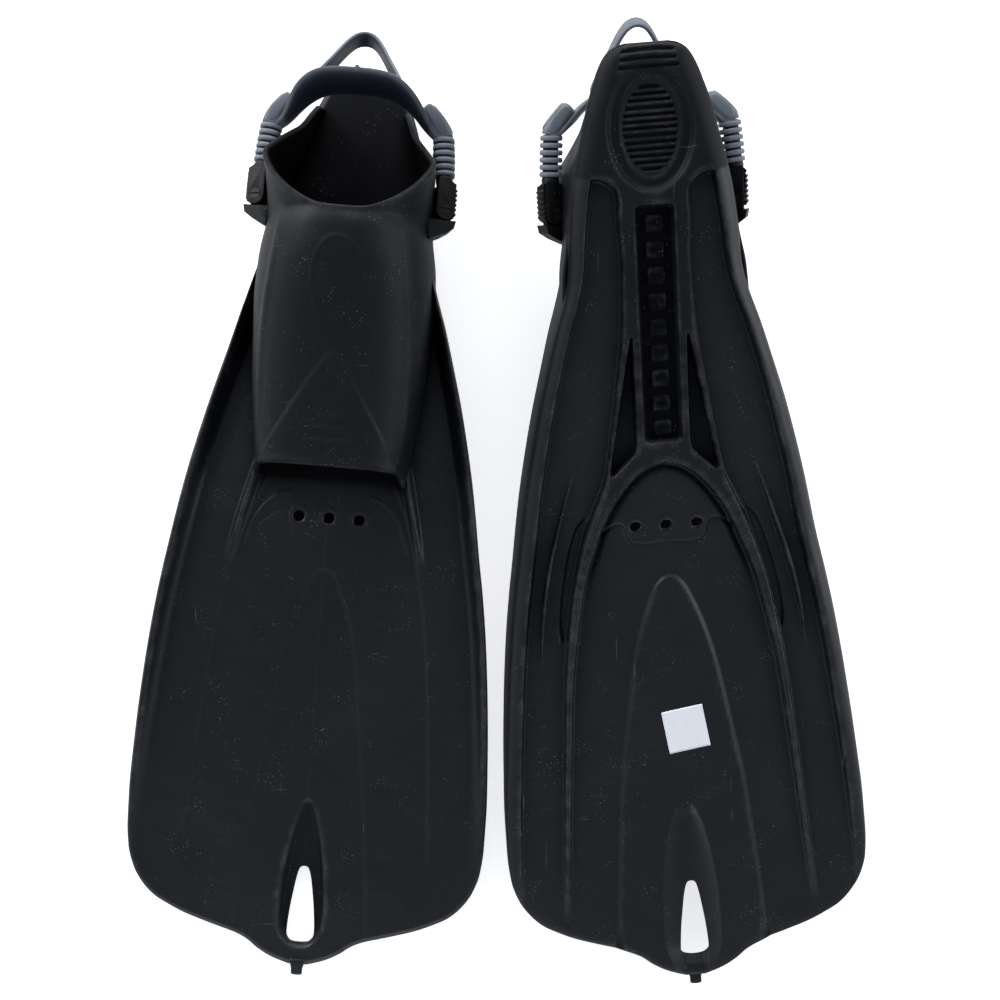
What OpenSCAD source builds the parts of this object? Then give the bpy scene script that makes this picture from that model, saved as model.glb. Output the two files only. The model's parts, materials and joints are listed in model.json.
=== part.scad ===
// A pair of swim fins with bungee heel straps, lying on the ground (z = 0), tips towards -y.
// The left fin (-x) lies sole down; the right fin (+x) lies sole up, on its instep rim and tip.
// Each fin is drawn in its own frame: x across, heel edge at y = 0, blade along -y and z up
// from the sole plane. "v" is the distance from the heel edge towards the tip, so y = -v.

/* [Fin] */
// Overall width of the blade at its widest
blade_w = 235; // [225:1:245]
// Thickness of the blade sheet
sheet = 4; // [3.4:0.2:4.4]
// Extra droop of the blade against the sole, degrees
droop = 9.4; // [7:0.2:10]
// Height of the side rails above the sole plane
rail_h = 25; // [20:1:28]
// Radius of the three drain holes
drain_r = 3.5; // [2.5:0.1:4]
// Distance between neighbouring drain holes
drain_pitch = 19.5; // [17:0.5:21]

/* [Foot pocket] */
// Wall thickness of the foot pocket
wall = 4; // [3:0.2:4.6]
// Height of the instep rim above the sole plane
rim_h = 97; // [92:1:100]
// Height of the toe lip above the sole plane
lip_h = 58; // [54:1:62]

/* [Strap hardware] */
// Half the distance between the two strap pivots
bolt_x = 57.5; // [57.3:0.1:58.5]
// Distance of the pivots from the heel edge
bolt_v = 93; // [92:0.5:94]
// Height of the pivots above the sole plane
bolt_w = 43; // [41:1:45]
// Outward lean of the pivot axes, degrees
bolt_tilt = 18; // [14:1:20]
// Radius of the pivot barrel
barrel_r = 2.6; // [2.4:0.1:2.7]
// Height of a clip along its pivot
clip_h = 16; // [15.6:0.2:17]
// Outer radius of the ribbed sleeve
sleeve_r = 7; // [6.6:0.2:7.2]
// Number of ribs on each sleeve
sleeve_ribs = 6; // [5:1:7]

/* [Heel strap] */
// Height of the padded heel band
band_h = 40; // [34:1:42]
// Thickness of the padded heel band
band_t = 5; // [4:0.5:6]

/* [Pose on the ground] */
// Pitch of the sole-down fin, degrees
pitch_down = 3.9; // [3.5:0.1:4.3]
// Pitch of the sole-up fin, which rests on its instep rim and tip, degrees
pitch_up = 15.2; // [14.8:0.1:15.6]
// Angle of each fin to the centre line, degrees
splay = 4.7; // [4:0.1:5.4]

/* [Hidden] */
$fn = 48;

blade_color = [0.09, 0.09, 0.1];
frame_color = [0.1, 0.1, 0.11];
clip_color = [0.07, 0.07, 0.08];
pivot_color = [0.16, 0.16, 0.17];
cord_color = [0.2, 0.21, 0.23];
strap_color = [0.36, 0.39, 0.43];

sole_t = 8;                // thickness of the sole frame; the blade sheet lies on it
sheet_top = sole_t + sheet;
sheet_v = 118;             // where the blade sheet starts
bend_v = 300;              // where the blade bends down
drain_v = 290;             // row of drain holes
toe_v = 262;               // toe end of the foot pocket

// ---- helpers -------------------------------------------------------------
function reversed(list) = [for (i = [len(list) - 1:-1:0]) list[i]];
// closes the x >= 0 half of a symmetric outline with its mirror image
function mirrored(half) = concat(half, [for (p = reversed(half)) if (p[0] != 0) [-p[0], p[1]]]);

// symmetric plan from stations [v, half width]
module plan(stations) polygon(mirrored([for (p = stations) [p[1], -p[0]]]));
// strip from stations [v, x of one edge, x of the other edge]
module strip(stations) polygon(concat([for (p = stations) [p[1], -p[0]]],
                                      [for (p = reversed(stations)) [p[2], -p[0]]]));
module slab(low, high) translate([0, 0, low]) linear_extrude(high - low) children();
// side profile [[v, z], ...] swept across the whole fin
module across(profile) rotate([90, 0, 90]) translate([0, 0, -150]) linear_extrude(300)
  polygon([for (p = profile) [-p[0], p[1]]]);
// symmetric front profile, given as its half [[x, z], ...], swept from y0 to y1
module along(half, y0, y1) translate([0, y1, 0]) rotate([90, 0, 0]) linear_extrude(y1 - y0)
  polygon(mirrored(half));
// droops what lies beyond the bend
module bent() translate([0, -bend_v, sole_t]) rotate([droop, 0, 0])
  translate([0, bend_v, -sole_t]) children();
module both_sides() {
  children();
  mirror([1, 0, 0]) children();
}
// side = -1 keeps the -x side: mirrors what is drawn for the +x side
module on_side(side) {
  if (side > 0) children();
  else mirror([1, 0, 0]) children();
}

// ---- outlines shared by several pieces, [v, half width] --------------------
function widened(stations) = [for (p = stations) [p[0], p[1] * blade_w / 235]];

heel_plan = [
  [0, 12.5], [0.9, 16.8], [2.6, 20.5], [5, 23.4], [9, 26.2], [15, 29.2], [22.5, 32], [33.5, 35.8],
  [46, 39], [56, 41.5], [66, 44], [80, 47], [93, 48.8], [110, 51]];
waist_plan = [[sheet_v, 51.8], [132, 54.7]];
flare_start = widened([[144, 58]]);
flare_plan = widened([[165, 65.5], [190, 73], [215, 80], [240, 86], [265, 91.3]]);
bend_edge = widened([[bend_v, 97.5]]);
// the bent part starts a little before the bend
bend_overlap = widened([[299, 97.3]]);
paddle_sides = widened([
  [330, 103], [360, 107.5], [400, 112], [440, 115.3], [480, 117.5], [500, 117.5], [517, 116.2],
  [531, 112]]);
paddle_tip = widened([
  [541.5, 105.5], [549.7, 97], [554.7, 88], [559.7, 77], [564.7, 62], [569.7, 46], [574.7, 35],
  [580.7, 27], [585.7, 18], [588.7, 9]]);
sole_plan = concat(heel_plan, waist_plan, flare_start, widened([[160, 63.8]]));
pocket_plan = [
  [3, 17], [8, 23.5], [20, 29.8], [34, 35], [48, 38.6], [65, 43], [80, 46.2], [93, 48.3],
  [110, 50.6], [132, 54.3], [160, 56], [190, 55], [220, 52.5], [toe_v, 48]];

// tool: everything inside the outline of the foot pocket
module pocket_block() slab(0, 120) plan(pocket_plan);
module drain_holes() for (i = [-1:1])
  translate([i * drain_pitch, -drain_v, 0]) cylinder(r = drain_r, h = 30);

// ---- blade ---------------------------------------------------------------
rail_w = 10;
rail_v = 146;              // where the rails start
// side profiles of the rails, [v, z]
foot_rail_side = [[rail_v, 2], [bend_v, 2], [bend_v, rail_h], [190, rail_h], [165, rail_h - 5],
                  [rail_v, 13]];
paddle_rail_side = [[299, 2], [500, 7], [531, 8], [531, 12], [500, 14.5], [400, rail_h - 3],
                    [299, rail_h]];
// bell-shaped opening near the tip, [v, half width]
vent_plan = [[525, 0], [535, 4.5], [549, 7.5], [564, 9.2], [571, 9.6], [574.7, 7], [575.7, 0]];
nub_plan = [[587.7, 3.2], [593, 3.2], [597, 1.4]];
nub_z = 8.3;

// a strip rail_w wide inside each edge of an outline, open at both ends
module rail_plan(stations) {
  last = len(stations) - 1;
  difference() {
    plan(stations);
    plan([for (i = [0:last])
      [stations[i][0] + (i == 0 ? -1 : i == last ? 1 : 0), stations[i][1] - rail_w]]);
  }
}
module foot_rails() difference() {
  intersection() {
    slab(2, 40) rail_plan(concat(widened([[rail_v, 58.6]]), flare_plan, bend_edge));
    across(foot_rail_side);
  }
  pocket_block();
  slab(-1, sole_t) plan(sole_plan);
}
module paddle_rails() intersection() {
  slab(2, 40) rail_plan(concat(bend_overlap, paddle_sides));
  across(paddle_rail_side);
}
module blade() color(blade_color) difference() {
  union() {
    slab(sole_t, sheet_top) plan(concat(waist_plan, flare_start, flare_plan, bend_edge));
    bent() slab(sole_t, sheet_top) plan(concat(bend_overlap, bend_edge, paddle_sides, paddle_tip));
    foot_rails();
    bent() paddle_rails();
    bent() slab(nub_z, nub_z + sheet * 0.8) plan(nub_plan);
  }
  drain_holes();
  bent() slab(-5, 35) plan(vent_plan);
}

// ---- sole frame ----------------------------------------------------------
// long opening on each side, [v, inner x, outer x]
window_strip = [[75, 29, 31], [82, 22, 34], [92, 20, 36.5], [127, 20.3, 46], [160, 22, 55],
                [172, 23, 60]];
// arch under the toes, [v, half width]
arch_outer = [[90, 20], [127, 20.3], [160, 22], [176, 23.5], [215, 29.5], [257, 36.5],
              [276, 45.5], [297, 53]];
arch_inner = [[247, 0], [252, 12], [261, 24], [281, 37.5], [297, 44]];
arch_triangle = [[17.5, -172], [35, -255], [17, -240]];  // [x, y], right-hand opening
tongue_plan = [[246, 0], [260, 24], [280, 38], [293, 44.5], [292, 40], [288, 33], [289, 27.5],
               [298, 25], [302, 19.5]];
// leg of the arch, [v, outer x, inner x]
leg_strip = [[297, 53, 44], [325, 61, 54], [362, 67.5, 61.5], [390, 71.5, 66], [440, 75.5, 70.5],
             [500, 80, 75.5], [540, 83, 80]];
leg_side = [[297, 0.4], [545, 6.2], [545, sole_t], [297, sole_t]];  // [v, z]
channel_plan = [[92, 11], [94, 11.5], [232, 11.5], [235, 9]];
oval_v = 47.5;
oval_radii = [24.5, 31.5];
groove_pitch = 4.2;
groove_half = 13.5;        // half length of the shortest groove

module heel_plate() difference() {
  slab(0, sole_t) plan(sole_plan);
  both_sides() slab(-1, 9) strip(window_strip);
}
module toe_arch() slab(0, sole_t) difference() {
  plan(arch_outer);
  plan(arch_inner);
  both_sides() polygon(arch_triangle);
}
// legs of the arch, thinning along the underside of the blade
module arch_legs() bent() intersection() {
  slab(0, sole_t) both_sides() strip(leg_strip);
  across(leg_side);
}
module oval_recess() translate([0, -oval_v, 0]) slab(-1, 2.2)
  polygon([for (angle = [0:10:350]) [oval_radii[0] * cos(angle), oval_radii[1] * sin(angle)]]);
// three grooves across the heel, each longer than the one behind it
module grip_grooves() for (i = [0:2])
  translate([-groove_half - i, -groove_pitch * (i + 1), -1])
    cube([2 * (groove_half + i), 1.6, 2]);
module sole_frame() color(frame_color) difference() {
  union() {
    heel_plate();
    toe_arch();
    slab(6, sole_t) plan(tongue_plan);
    arch_legs();
  }
  oval_recess();
  slab(-1, 4) plan(channel_plan);
  grip_grooves();
  // the frame stops at the underside of the blade sheet, on both sides of the bend
  bent() slab(sole_t, 30) translate([-150, -640]) square([300, 340.9]);
  slab(sole_t, 12) translate([-150, -bend_v]) square([300, 100]);
  drain_holes();
}

// ---- foot pocket ---------------------------------------------------------
rest_v = 130;              // point of the rim on which the sole-up fin rests
rest_z = rim_h - 1.5;
// top edge from heel to rim, then from rim to toe lip, [v, z]
mouth_line = [[14, 12], [30, 24], [50, 50], [62, 66], [70, 74], [82, 80], [95, rim_h - 9],
              [108, rim_h - 3], [118, rim_h]];
roof_line = [[rest_v, rest_z], [150, rim_h - 8], [190, rim_h - 22], [225, rim_h - 31.5],
             [toe_v, lip_h]];

// arched front profile, made smaller by inset
module arch_body(inset) along(concat(
  [[60 - inset, 0]],
  [for (p = [[60, 56], [54, 68], [44, 80], [30, 91]]) [p[0] - inset, p[1] - inset]],
  [[14, 98 - inset]]), -300, 5);
// the room for the foot, open to the heel and to the toes
module foot_room() intersection() {
  slab(sheet_top, 130) plan(concat(
    [[-5, 24]],
    [for (i = [1:len(pocket_plan) - 2]) [pocket_plan[i][0], pocket_plan[i][1] - wall]],
    [[266, 48 - wall]]));
  across(concat(
    [[-6, sheet_top], [267, sheet_top], [267, lip_h - wall]],
    [for (p = reversed(roof_line)) [p[0], p[1] - wall]],
    [[112, rim_h - 1 - wall], [110, 125], [-6, 125]]));
  union() {
    arch_body(wall);
    translate([-60, -110, 8]) cube([120, 120, 120]);
  }
}
module foot_pocket() color(frame_color) difference() {
  intersection() {
    slab(sole_t, 110) plan(pocket_plan);
    across(concat(
      [[3, 12], [3, sole_t], [sheet_v, sole_t], [sheet_v, sheet_top], [toe_v, sheet_top]],
      reversed(roof_line), reversed(mouth_line)));
    arch_body(0);
  }
  foot_room();
}

// ---- strap posts, clips and pivots ----------------------------------------
// Drawn about the pivot with z along it; side is -1 for the -x side, +1 for the +x side.
clip_half = clip_h / 2;
clearance = 0.05;          // radial running clearance of the pivots
cut_reach = 20;            // how far cutting tools reach along the pivot
post_half = 3.7;           // half height of the post's eye
clip_r = 6.3;              // rounded end of the clip, also half its width
clip_len = 16.5;
head_r = 3.5;
head_t = 1.9;
head_sink = 1.45;          // depth of a pivot head in the clip face
slot_sink = 0.35;          // depth of the slot floor below the clip face
slot = [8, 0.8, 2];
stop_y = 10.6;             // cord stop, from the pivot towards the heel
seat_half = 5.3;           // half height of the cord stop's seat
// plans about the pivot, [x, y]
post_arm = [[-14, 3], [-3, 4.7], [4.7, -3], [5.5, -12], [-14, -22]];
post_base = [[-16, -8.5], [7.6, -6.6], [6.6, -11.5], [1, -15.5], [-16, -24]];
clip_serration = [
  [5, -3], [6.8, -3.4], [6.6, -0.6], [7.6, 0], [6.8, 3], [7.7, 3.6], [6.9, 6.6], [7.7, 7.2],
  [6.9, 10.2], [7.7, 10.8], [6.9, 13.8], [7.5, 14.4], [clip_r, clip_len], [5, clip_len]];
fork_mouth = [[-9, 5.8], [0, 5.8], [5.4, -2.4], [5.2, -9], [-9, -9]];

module at_pivot(side) translate([side * bolt_x, -bolt_v, bolt_w])
  rotate([0, side * bolt_tilt, 0]) children();
module pivot_bore() translate([0, 0, -cut_reach])
  cylinder(r = barrel_r + clearance, h = 2 * cut_reach);
// tool: clears both ends of the pivot axis beyond z = -start and z = start
module end_cuts(radius, start) for (z = [-cut_reach, start])
  translate([0, 0, z]) cylinder(r = radius, h = cut_reach - start);

module strap_post(side) color(frame_color) difference() {
  at_pivot(side) on_side(side) difference() {
    union() {
      slab(-post_half, post_half) union() {
        circle(r = 5.6);
        polygon(post_arm);
      }
      slab(-8, 8) polygon(post_base);
    }
    pivot_bore();
    end_cuts(7.4, post_half);
  }
  pocket_block();
}
module clip(side) color(clip_color) at_pivot(side) on_side(side) difference() {
  union() {
    slab(-clip_half, clip_half) union() {
      circle(r = clip_r);
      translate([-clip_r, 0]) square([2 * clip_r, clip_len]);
    }
    slab(-clip_half + 2, clip_half - 2) polygon(clip_serration);
  }
  // fork slot for the post
  slab(-4, 4) union() {
    circle(r = 6);
    polygon(fork_mouth);
  }
  // seat of the cord stop and its mouth
  translate([0, stop_y, -seat_half]) cylinder(r = 4.35, h = 2 * seat_half);
  slab(-3.6, 3.6) translate([-3.4, stop_y]) square([6.8, 7]);
  pivot_bore();
  end_cuts(3.6, clip_half - 1.5);
}
// screw, its head on the upper face of the clip
module pivot_screw(side) color(pivot_color) at_pivot(side) difference() {
  union() {
    translate([0, 0, clip_half - head_sink]) cylinder(r = head_r, h = head_t);
    translate([0, 0, -2]) cylinder(r = 1.45, h = clip_half + 1);
  }
  translate([-slot[0] / 2, -slot[1] / 2, clip_half - slot_sink]) cube(slot);
}
// hollow barrel, its head on the lower face of the clip
module pivot_barrel(side) color(pivot_color) at_pivot(side) difference() {
  union() {
    translate([0, 0, -clip_half + head_sink - head_t]) cylinder(r = head_r, h = head_t);
    translate([0, 0, -clip_half]) cylinder(r = barrel_r, h = clip_h - 1.6);
  }
  translate([0, 0, -clip_half + 2.5]) cylinder(r = 1.5, h = clip_h);
  translate([-slot[0] / 2, -slot[1] / 2, -clip_half + slot_sink - slot[2]]) cube(slot);
}
// ball held in the clip, with a short cord end towards the sleeve
module cord_stop(side) color(cord_color) {
  at_pivot(side) translate([0, stop_y, 0]) sphere(r = 3.9);
  translate([side * bolt_x, -bolt_v + stop_y, bolt_w]) rotate([-90, 0, 0])
    cylinder(r = 2.4, h = 9.6);
}

// ---- elastic strap ---------------------------------------------------------
sleeve_v = 71.5;           // mouth of the sleeve at the clip
sleeve_len = sleeve_v - 46;
sleeve_bore_r = 2.9;
sleeve_lean = 5;           // the sleeves lean in towards the heel, degrees
rib_pitch = sleeve_len / sleeve_ribs;
// one rib, [radius, distance along the sleeve]
rib = [[sleeve_r - 1.2, 0.2], [sleeve_r - 0.1, 0.9], [sleeve_r, 1.5],
       [sleeve_r - 0.1, rib_pitch - 1.1], [sleeve_r - 1.2, rib_pitch - 0.3]];

// z runs along the sleeve from its mouth towards the heel
module at_sleeve(side) translate([side * (bolt_x - 0.4), -sleeve_v, bolt_w])
  rotate([0, 0, side * sleeve_lean]) rotate([-90, 0, 0]) children();
module sleeve(side) color(strap_color) at_sleeve(side) rotate_extrude() polygon(concat(
  [[sleeve_bore_r, 0.2]],
  [for (i = [0:sleeve_ribs - 1]) for (p = rib) [p[0], i * rib_pitch + p[1]]],
  [[sleeve_bore_r, sleeve_ribs * rib_pitch - 0.3]]));
module bungee(side) color(cord_color) at_sleeve(side)
  translate([0, 0, 0.9]) cylinder(r = 2.6, h = sleeve_len + 3.4);

// inner face of the band, [x, v]; its outward normal turns band_turn degrees per point
band_inner = [[0, 24], [12, 24.3], [24, 26.5], [33, 30], [41, 34.5], [48, 39.5], [53, 44]];
band_turn = 9;
band_outer = [for (i = [0:len(band_inner) - 1])
  [band_inner[i][0] + band_t * sin(i * band_turn), -band_inner[i][1] + band_t * cos(i * band_turn)]];
// half front profile of the band, [x, z above the pivots]
band_front = [[0, 2], [36, 1], [50, -5], [62, -6], [62, 6.5], [54, 8], [46, 19],
              [36, band_h - 6], [24, band_h + 1], [0, band_h + 2]];
// half outlines of the finger loop, [x, y]
loop_outer = [[27, -6.5], [25.5, 2], [20, 16], [15, 27], [9, 36], [3, 41]];
loop_inner = [[23, -6.6], [21.8, 1.5], [16.5, 15], [11.5, 25.5], [6.5, 33], [2, 37]];

module heel_band() intersection() {
  slab(bolt_w - 10, bolt_w + 50)
    polygon(mirrored(concat([for (p = band_inner) [p[0], -p[1]]], reversed(band_outer))));
  along([for (p = band_front) [p[0], bolt_w + p[1]]], -60, 10);
}
// slopes back and down from the band
module finger_loop() translate([0, -18, bolt_w + 17]) rotate([-28, 0, 0])
  slab(-6, 5) difference() {
    polygon(mirrored(loop_outer));
    polygon(mirrored(loop_inner));
  }
module heel_strap() color(strap_color) difference() {
  union() {
    heel_band();
    // arms reaching the sleeves
    both_sides() at_sleeve(1) translate([0, 0, sleeve_len]) cylinder(r = 6.2, h = 8);
    finger_loop();
  }
  // bores that hold the bungee ends
  both_sides() at_sleeve(1) translate([0, 0, 1]) cylinder(r = 2.7, h = sleeve_len + 3.6);
}

// ---- blank label on the underside of the blade ------------------------------
label_size = [27, 28, 0.25];
module label() color("white") bent() translate([-4, -424, 7.7]) rotate([0, 0, 8])
  translate([-label_size[0] / 2, -label_size[1] / 2, 0]) cube(label_size);

// ---- the pair on the ground --------------------------------------------------
// where each fin is put down, and the distance from there to its heel edge
left_place = [-108.177, -2.914, 0];
left_heel_y = 290;
right_place = [107.923, -2.914, 0];
right_heel_y = 275;
// height of the sole-up heel edge that brings the resting point of the rim to the ground
heel_z = rest_v * sin(pitch_up) + rest_z * cos(pitch_up);

module left_fin() translate(left_place) rotate([0, 0, -splay])
  translate([0, left_heel_y, 0]) rotate([-pitch_down, 0, 0]) children();
module right_fin() translate(right_place) rotate([0, 0, splay])
  translate([0, right_heel_y, heel_z]) rotate([pitch_up, 0, 0]) rotate([0, 180, 0]) children();

left_fin() blade();  // left_fin_blade
left_fin() sole_frame();  // left_fin_sole_frame
left_fin() foot_pocket();  // left_fin_foot_pocket
left_fin() strap_post(-1);  // left_fin_strap_post_l
left_fin() strap_post(1);  // left_fin_strap_post_r
left_fin() clip(-1);  // left_fin_clip_l
left_fin() clip(1);  // left_fin_clip_r
left_fin() pivot_screw(-1);  // left_fin_pivot_screw_l
left_fin() pivot_screw(1);  // left_fin_pivot_screw_r
left_fin() pivot_barrel(-1);  // left_fin_pivot_barrel_l
left_fin() pivot_barrel(1);  // left_fin_pivot_barrel_r
left_fin() cord_stop(-1);  // left_fin_cord_stop_l
left_fin() cord_stop(1);  // left_fin_cord_stop_r
left_fin() bungee(-1);  // left_fin_bungee_l
left_fin() bungee(1);  // left_fin_bungee_r
left_fin() sleeve(-1);  // left_fin_sleeve_l
left_fin() sleeve(1);  // left_fin_sleeve_r
left_fin() heel_strap();  // left_fin_heel_strap
right_fin() blade();  // right_fin_blade
right_fin() sole_frame();  // right_fin_sole_frame
right_fin() foot_pocket();  // right_fin_foot_pocket
right_fin() strap_post(-1);  // right_fin_strap_post_l
right_fin() strap_post(1);  // right_fin_strap_post_r
right_fin() clip(-1);  // right_fin_clip_l
right_fin() clip(1);  // right_fin_clip_r
right_fin() pivot_screw(-1);  // right_fin_pivot_screw_l
right_fin() pivot_screw(1);  // right_fin_pivot_screw_r
right_fin() pivot_barrel(-1);  // right_fin_pivot_barrel_l
right_fin() pivot_barrel(1);  // right_fin_pivot_barrel_r
right_fin() cord_stop(-1);  // right_fin_cord_stop_l
right_fin() cord_stop(1);  // right_fin_cord_stop_r
right_fin() bungee(-1);  // right_fin_bungee_l
right_fin() bungee(1);  // right_fin_bungee_r
right_fin() sleeve(-1);  // right_fin_sleeve_l
right_fin() sleeve(1);  // right_fin_sleeve_r
right_fin() heel_strap();  // right_fin_heel_strap
right_fin() label();  // right_fin_label
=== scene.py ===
import json
import math

import bmesh
import bpy
import numpy as np
from mathutils import Matrix, Vector


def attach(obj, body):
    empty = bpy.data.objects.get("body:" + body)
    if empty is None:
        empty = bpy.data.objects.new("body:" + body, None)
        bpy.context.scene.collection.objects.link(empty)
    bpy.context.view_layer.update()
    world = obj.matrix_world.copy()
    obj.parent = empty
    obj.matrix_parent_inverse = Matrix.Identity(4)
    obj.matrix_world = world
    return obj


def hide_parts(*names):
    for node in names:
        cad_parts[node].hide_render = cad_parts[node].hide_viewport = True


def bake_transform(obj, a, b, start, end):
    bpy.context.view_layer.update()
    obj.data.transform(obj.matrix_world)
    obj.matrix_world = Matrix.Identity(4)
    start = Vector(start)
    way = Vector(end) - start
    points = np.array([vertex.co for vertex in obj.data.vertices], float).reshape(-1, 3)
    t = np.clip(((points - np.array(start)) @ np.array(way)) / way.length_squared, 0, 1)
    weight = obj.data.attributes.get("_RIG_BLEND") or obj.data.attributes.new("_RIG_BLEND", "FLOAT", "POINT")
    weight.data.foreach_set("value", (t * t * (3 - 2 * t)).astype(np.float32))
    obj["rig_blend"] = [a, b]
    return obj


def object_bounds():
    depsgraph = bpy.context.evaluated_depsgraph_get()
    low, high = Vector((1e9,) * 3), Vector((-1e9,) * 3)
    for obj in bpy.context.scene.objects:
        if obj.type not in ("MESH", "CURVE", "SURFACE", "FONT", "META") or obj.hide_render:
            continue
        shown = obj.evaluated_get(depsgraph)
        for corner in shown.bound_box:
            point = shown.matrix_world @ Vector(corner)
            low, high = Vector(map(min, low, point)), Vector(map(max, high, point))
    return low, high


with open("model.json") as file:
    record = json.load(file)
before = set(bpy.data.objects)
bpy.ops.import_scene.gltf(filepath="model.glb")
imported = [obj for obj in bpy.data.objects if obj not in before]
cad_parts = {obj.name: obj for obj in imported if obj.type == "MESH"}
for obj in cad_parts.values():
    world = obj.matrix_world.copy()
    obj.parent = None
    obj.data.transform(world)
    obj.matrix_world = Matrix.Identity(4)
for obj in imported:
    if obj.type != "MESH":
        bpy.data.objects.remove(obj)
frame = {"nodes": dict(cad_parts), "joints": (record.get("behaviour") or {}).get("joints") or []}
CAD_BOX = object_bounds()
JOINTS = {joint["name"]: joint for joint in frame["joints"]}

# ------------------------------------------------------------------ driving dimensions (mm)
LENGTH = 589.7                  # heel edge to blade tip
SHEET = 8.0                     # height of the sheet's underside, where the droop is measured
DROOP = math.radians(9.4)       # the blade turns down by this angle
DROOP_SPAN = (284, 318)         # along the fin, where it turns
BOLT_X, BOLT_ALONG = 57.5, 93.0  # clip pivot
STRAP_Z = 43.0                  # height of the clip pivots and the sleeves
CLIP_TILT = math.radians(18)
SWING_ALONG = 72.2              # axis the strap swings about
DRAINS_X, DRAINS_ALONG, DRAIN_RADIUS = (-19.5, 0, 19.5), 290, 3.5
MEDALLION = 47                  # centre of the oval on the heel plate
SLEEVE_MOUTH, SLEEVE_END = 71.5, 46.0
SLEEVE_LEAN = math.radians(5)

ACROSS = np.array([1.0, 0, 0])
BACK = np.array([0, 1.0, 0])    # from the tip towards the heel
UP = np.array([0, 0, 1.0])


def fin_matrix(side):
    """Fin frame (mm) to scene (m), read back from the strap's two joints."""
    swing, stretch = JOINTS[side + "_strap_swing"], JOINTS[side + "_strap_stretch"]
    x = Vector(swing["axis"]).normalized()
    y = Vector(stretch["axis"]).normalized()
    turn = Matrix((x, y, x.cross(y).normalized())).transposed()
    origin = Vector(swing["pos_m"]) - turn @ (Vector((0.0, -SWING_ALONG, STRAP_Z)) / 1000)
    return Matrix.Translation(origin) @ turn.to_4x4() @ Matrix.Scale(0.001, 4)


FINS = {side: fin_matrix(side) for side in ("left", "right")}


# ------------------------------------------------------------------ small maths
def rise(start, end, x):
    """Smooth step from 0 at start to 1 at end."""
    part = np.clip((x - start) / (end - start), 0, 1)
    return part * part * (3 - 2 * part)


def fall(start, end, x):
    """Smooth step from 1 at start to 0 at end."""
    return 1 - rise(start, end, x)


def curve(points, at):
    """Smooth monotone interpolation through (x, y) points."""
    x, y = np.array(points, float).T
    step = np.diff(x)
    slope = np.diff(y) / step
    tangent = np.zeros_like(x)
    tangent[0], tangent[-1] = slope[0], slope[-1]
    for i in range(1, len(x) - 1):
        if slope[i - 1] * slope[i] > 0:
            before, after = 2 * step[i] + step[i - 1], step[i] + 2 * step[i - 1]
            tangent[i] = (before + after) / (before / slope[i - 1] + after / slope[i])
    at = np.clip(np.asarray(at, float), x[0], x[-1])
    i = np.clip(np.searchsorted(x, at, side="right") - 1, 0, len(x) - 2)
    part = (at - x[i]) / step[i]
    return (
        y[i] * (1 + 2 * part) * (1 - part) ** 2
        + step[i] * tangent[i] * part * (1 - part) ** 2
        + y[i + 1] * part * part * (3 - 2 * part)
        + step[i] * tangent[i + 1] * part * part * (part - 1)
    )


def resample(table, count):
    """Each column of a station table, interpolated at evenly spread places."""
    index = np.arange(len(table))
    at = np.linspace(0, len(table) - 1, count)
    return [curve(np.stack([index, column], -1), at) for column in np.array(table).T]


def path_distance(plan, path, closed=False):
    """Distance from plan points (n, 2) to a polyline."""
    path = np.array(path, float)
    if closed:
        path = np.vstack([path, path[:1]])
    best = np.full(len(plan), 1e9)
    for start, end in zip(path[:-1], path[1:]):
        edge = end - start
        part = np.clip(((plan - start) @ edge) / max(edge @ edge, 1e-12), 0, 1)
        gap = plan - start - part[:, None] * edge
        best = np.minimum(best, gap[:, 0] ** 2 + gap[:, 1] ** 2)
    return np.sqrt(best)


def is_inside(plan, polygon):
    polygon = np.array(polygon, float)
    result = np.zeros(len(plan), bool)
    for (x0, y0), (x1, y1) in zip(polygon, np.roll(polygon, -1, 0)):
        if y0 == y1:
            continue
        crosses = (y0 > plan[:, 1]) != (y1 > plan[:, 1])
        result ^= crosses & (plan[:, 0] < (x1 - x0) * (plan[:, 1] - y0) / (y1 - y0) + x0)
    return result


def edge_distance(plan, polygon):
    """Signed distance to a polygon, negative inside."""
    return path_distance(plan, polygon, True) * np.where(is_inside(plan, polygon), -1.0, 1.0)


def smooth_path(points, steps=8):
    """A Catmull-Rom curve through the points."""
    points = np.array(points, float)
    ends = 2 * points[0] - points[1], 2 * points[-1] - points[-2]
    knots = np.vstack([ends[0], points, ends[1]])
    out = []
    for i in range(1, len(knots) - 2):
        k0, k1, k2, k3 = knots[i - 1:i + 3]
        for t in np.linspace(0, 1, steps, endpoint=False):
            out.append(0.5 * (2 * k1 + (k2 - k0) * t + (2 * k0 - 5 * k1 + 4 * k2 - k3) * t * t
                              + (3 * k1 - k0 - 3 * k2 + k3) * t ** 3))
    out.append(points[-1])
    return np.array(out)


def full_turn(count):
    return np.linspace(0, 2 * math.pi, count, endpoint=False)


def circle(radius, count, x=0, y=0):
    angle = full_turn(count)
    return np.stack([x + radius * np.cos(angle), y + radius * np.sin(angle)], -1)


def bend(x, along, z):
    """Straight-blade coordinates to fin frame points with the droop."""
    x, along, z = [np.asarray(values, float) for values in (x, along, z)]
    stations = np.linspace(-20, 620, 6401)
    angle = DROOP * rise(*DROOP_SPAN, stations)
    step = stations[1] - stations[0]
    middle = (angle[1:] + angle[:-1]) / 2
    reach = np.concatenate([[0], np.cumsum(np.cos(middle) * step)]) - 20
    drop = SHEET - np.concatenate([[0], np.cumsum(np.sin(middle) * step)])
    here = np.interp(along, stations, angle)
    y = -np.interp(along, stations, reach) - (z - SHEET) * np.sin(here)
    return np.stack([x, y, np.interp(along, stations, drop) + (z - SHEET) * np.cos(here)], -1)


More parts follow.
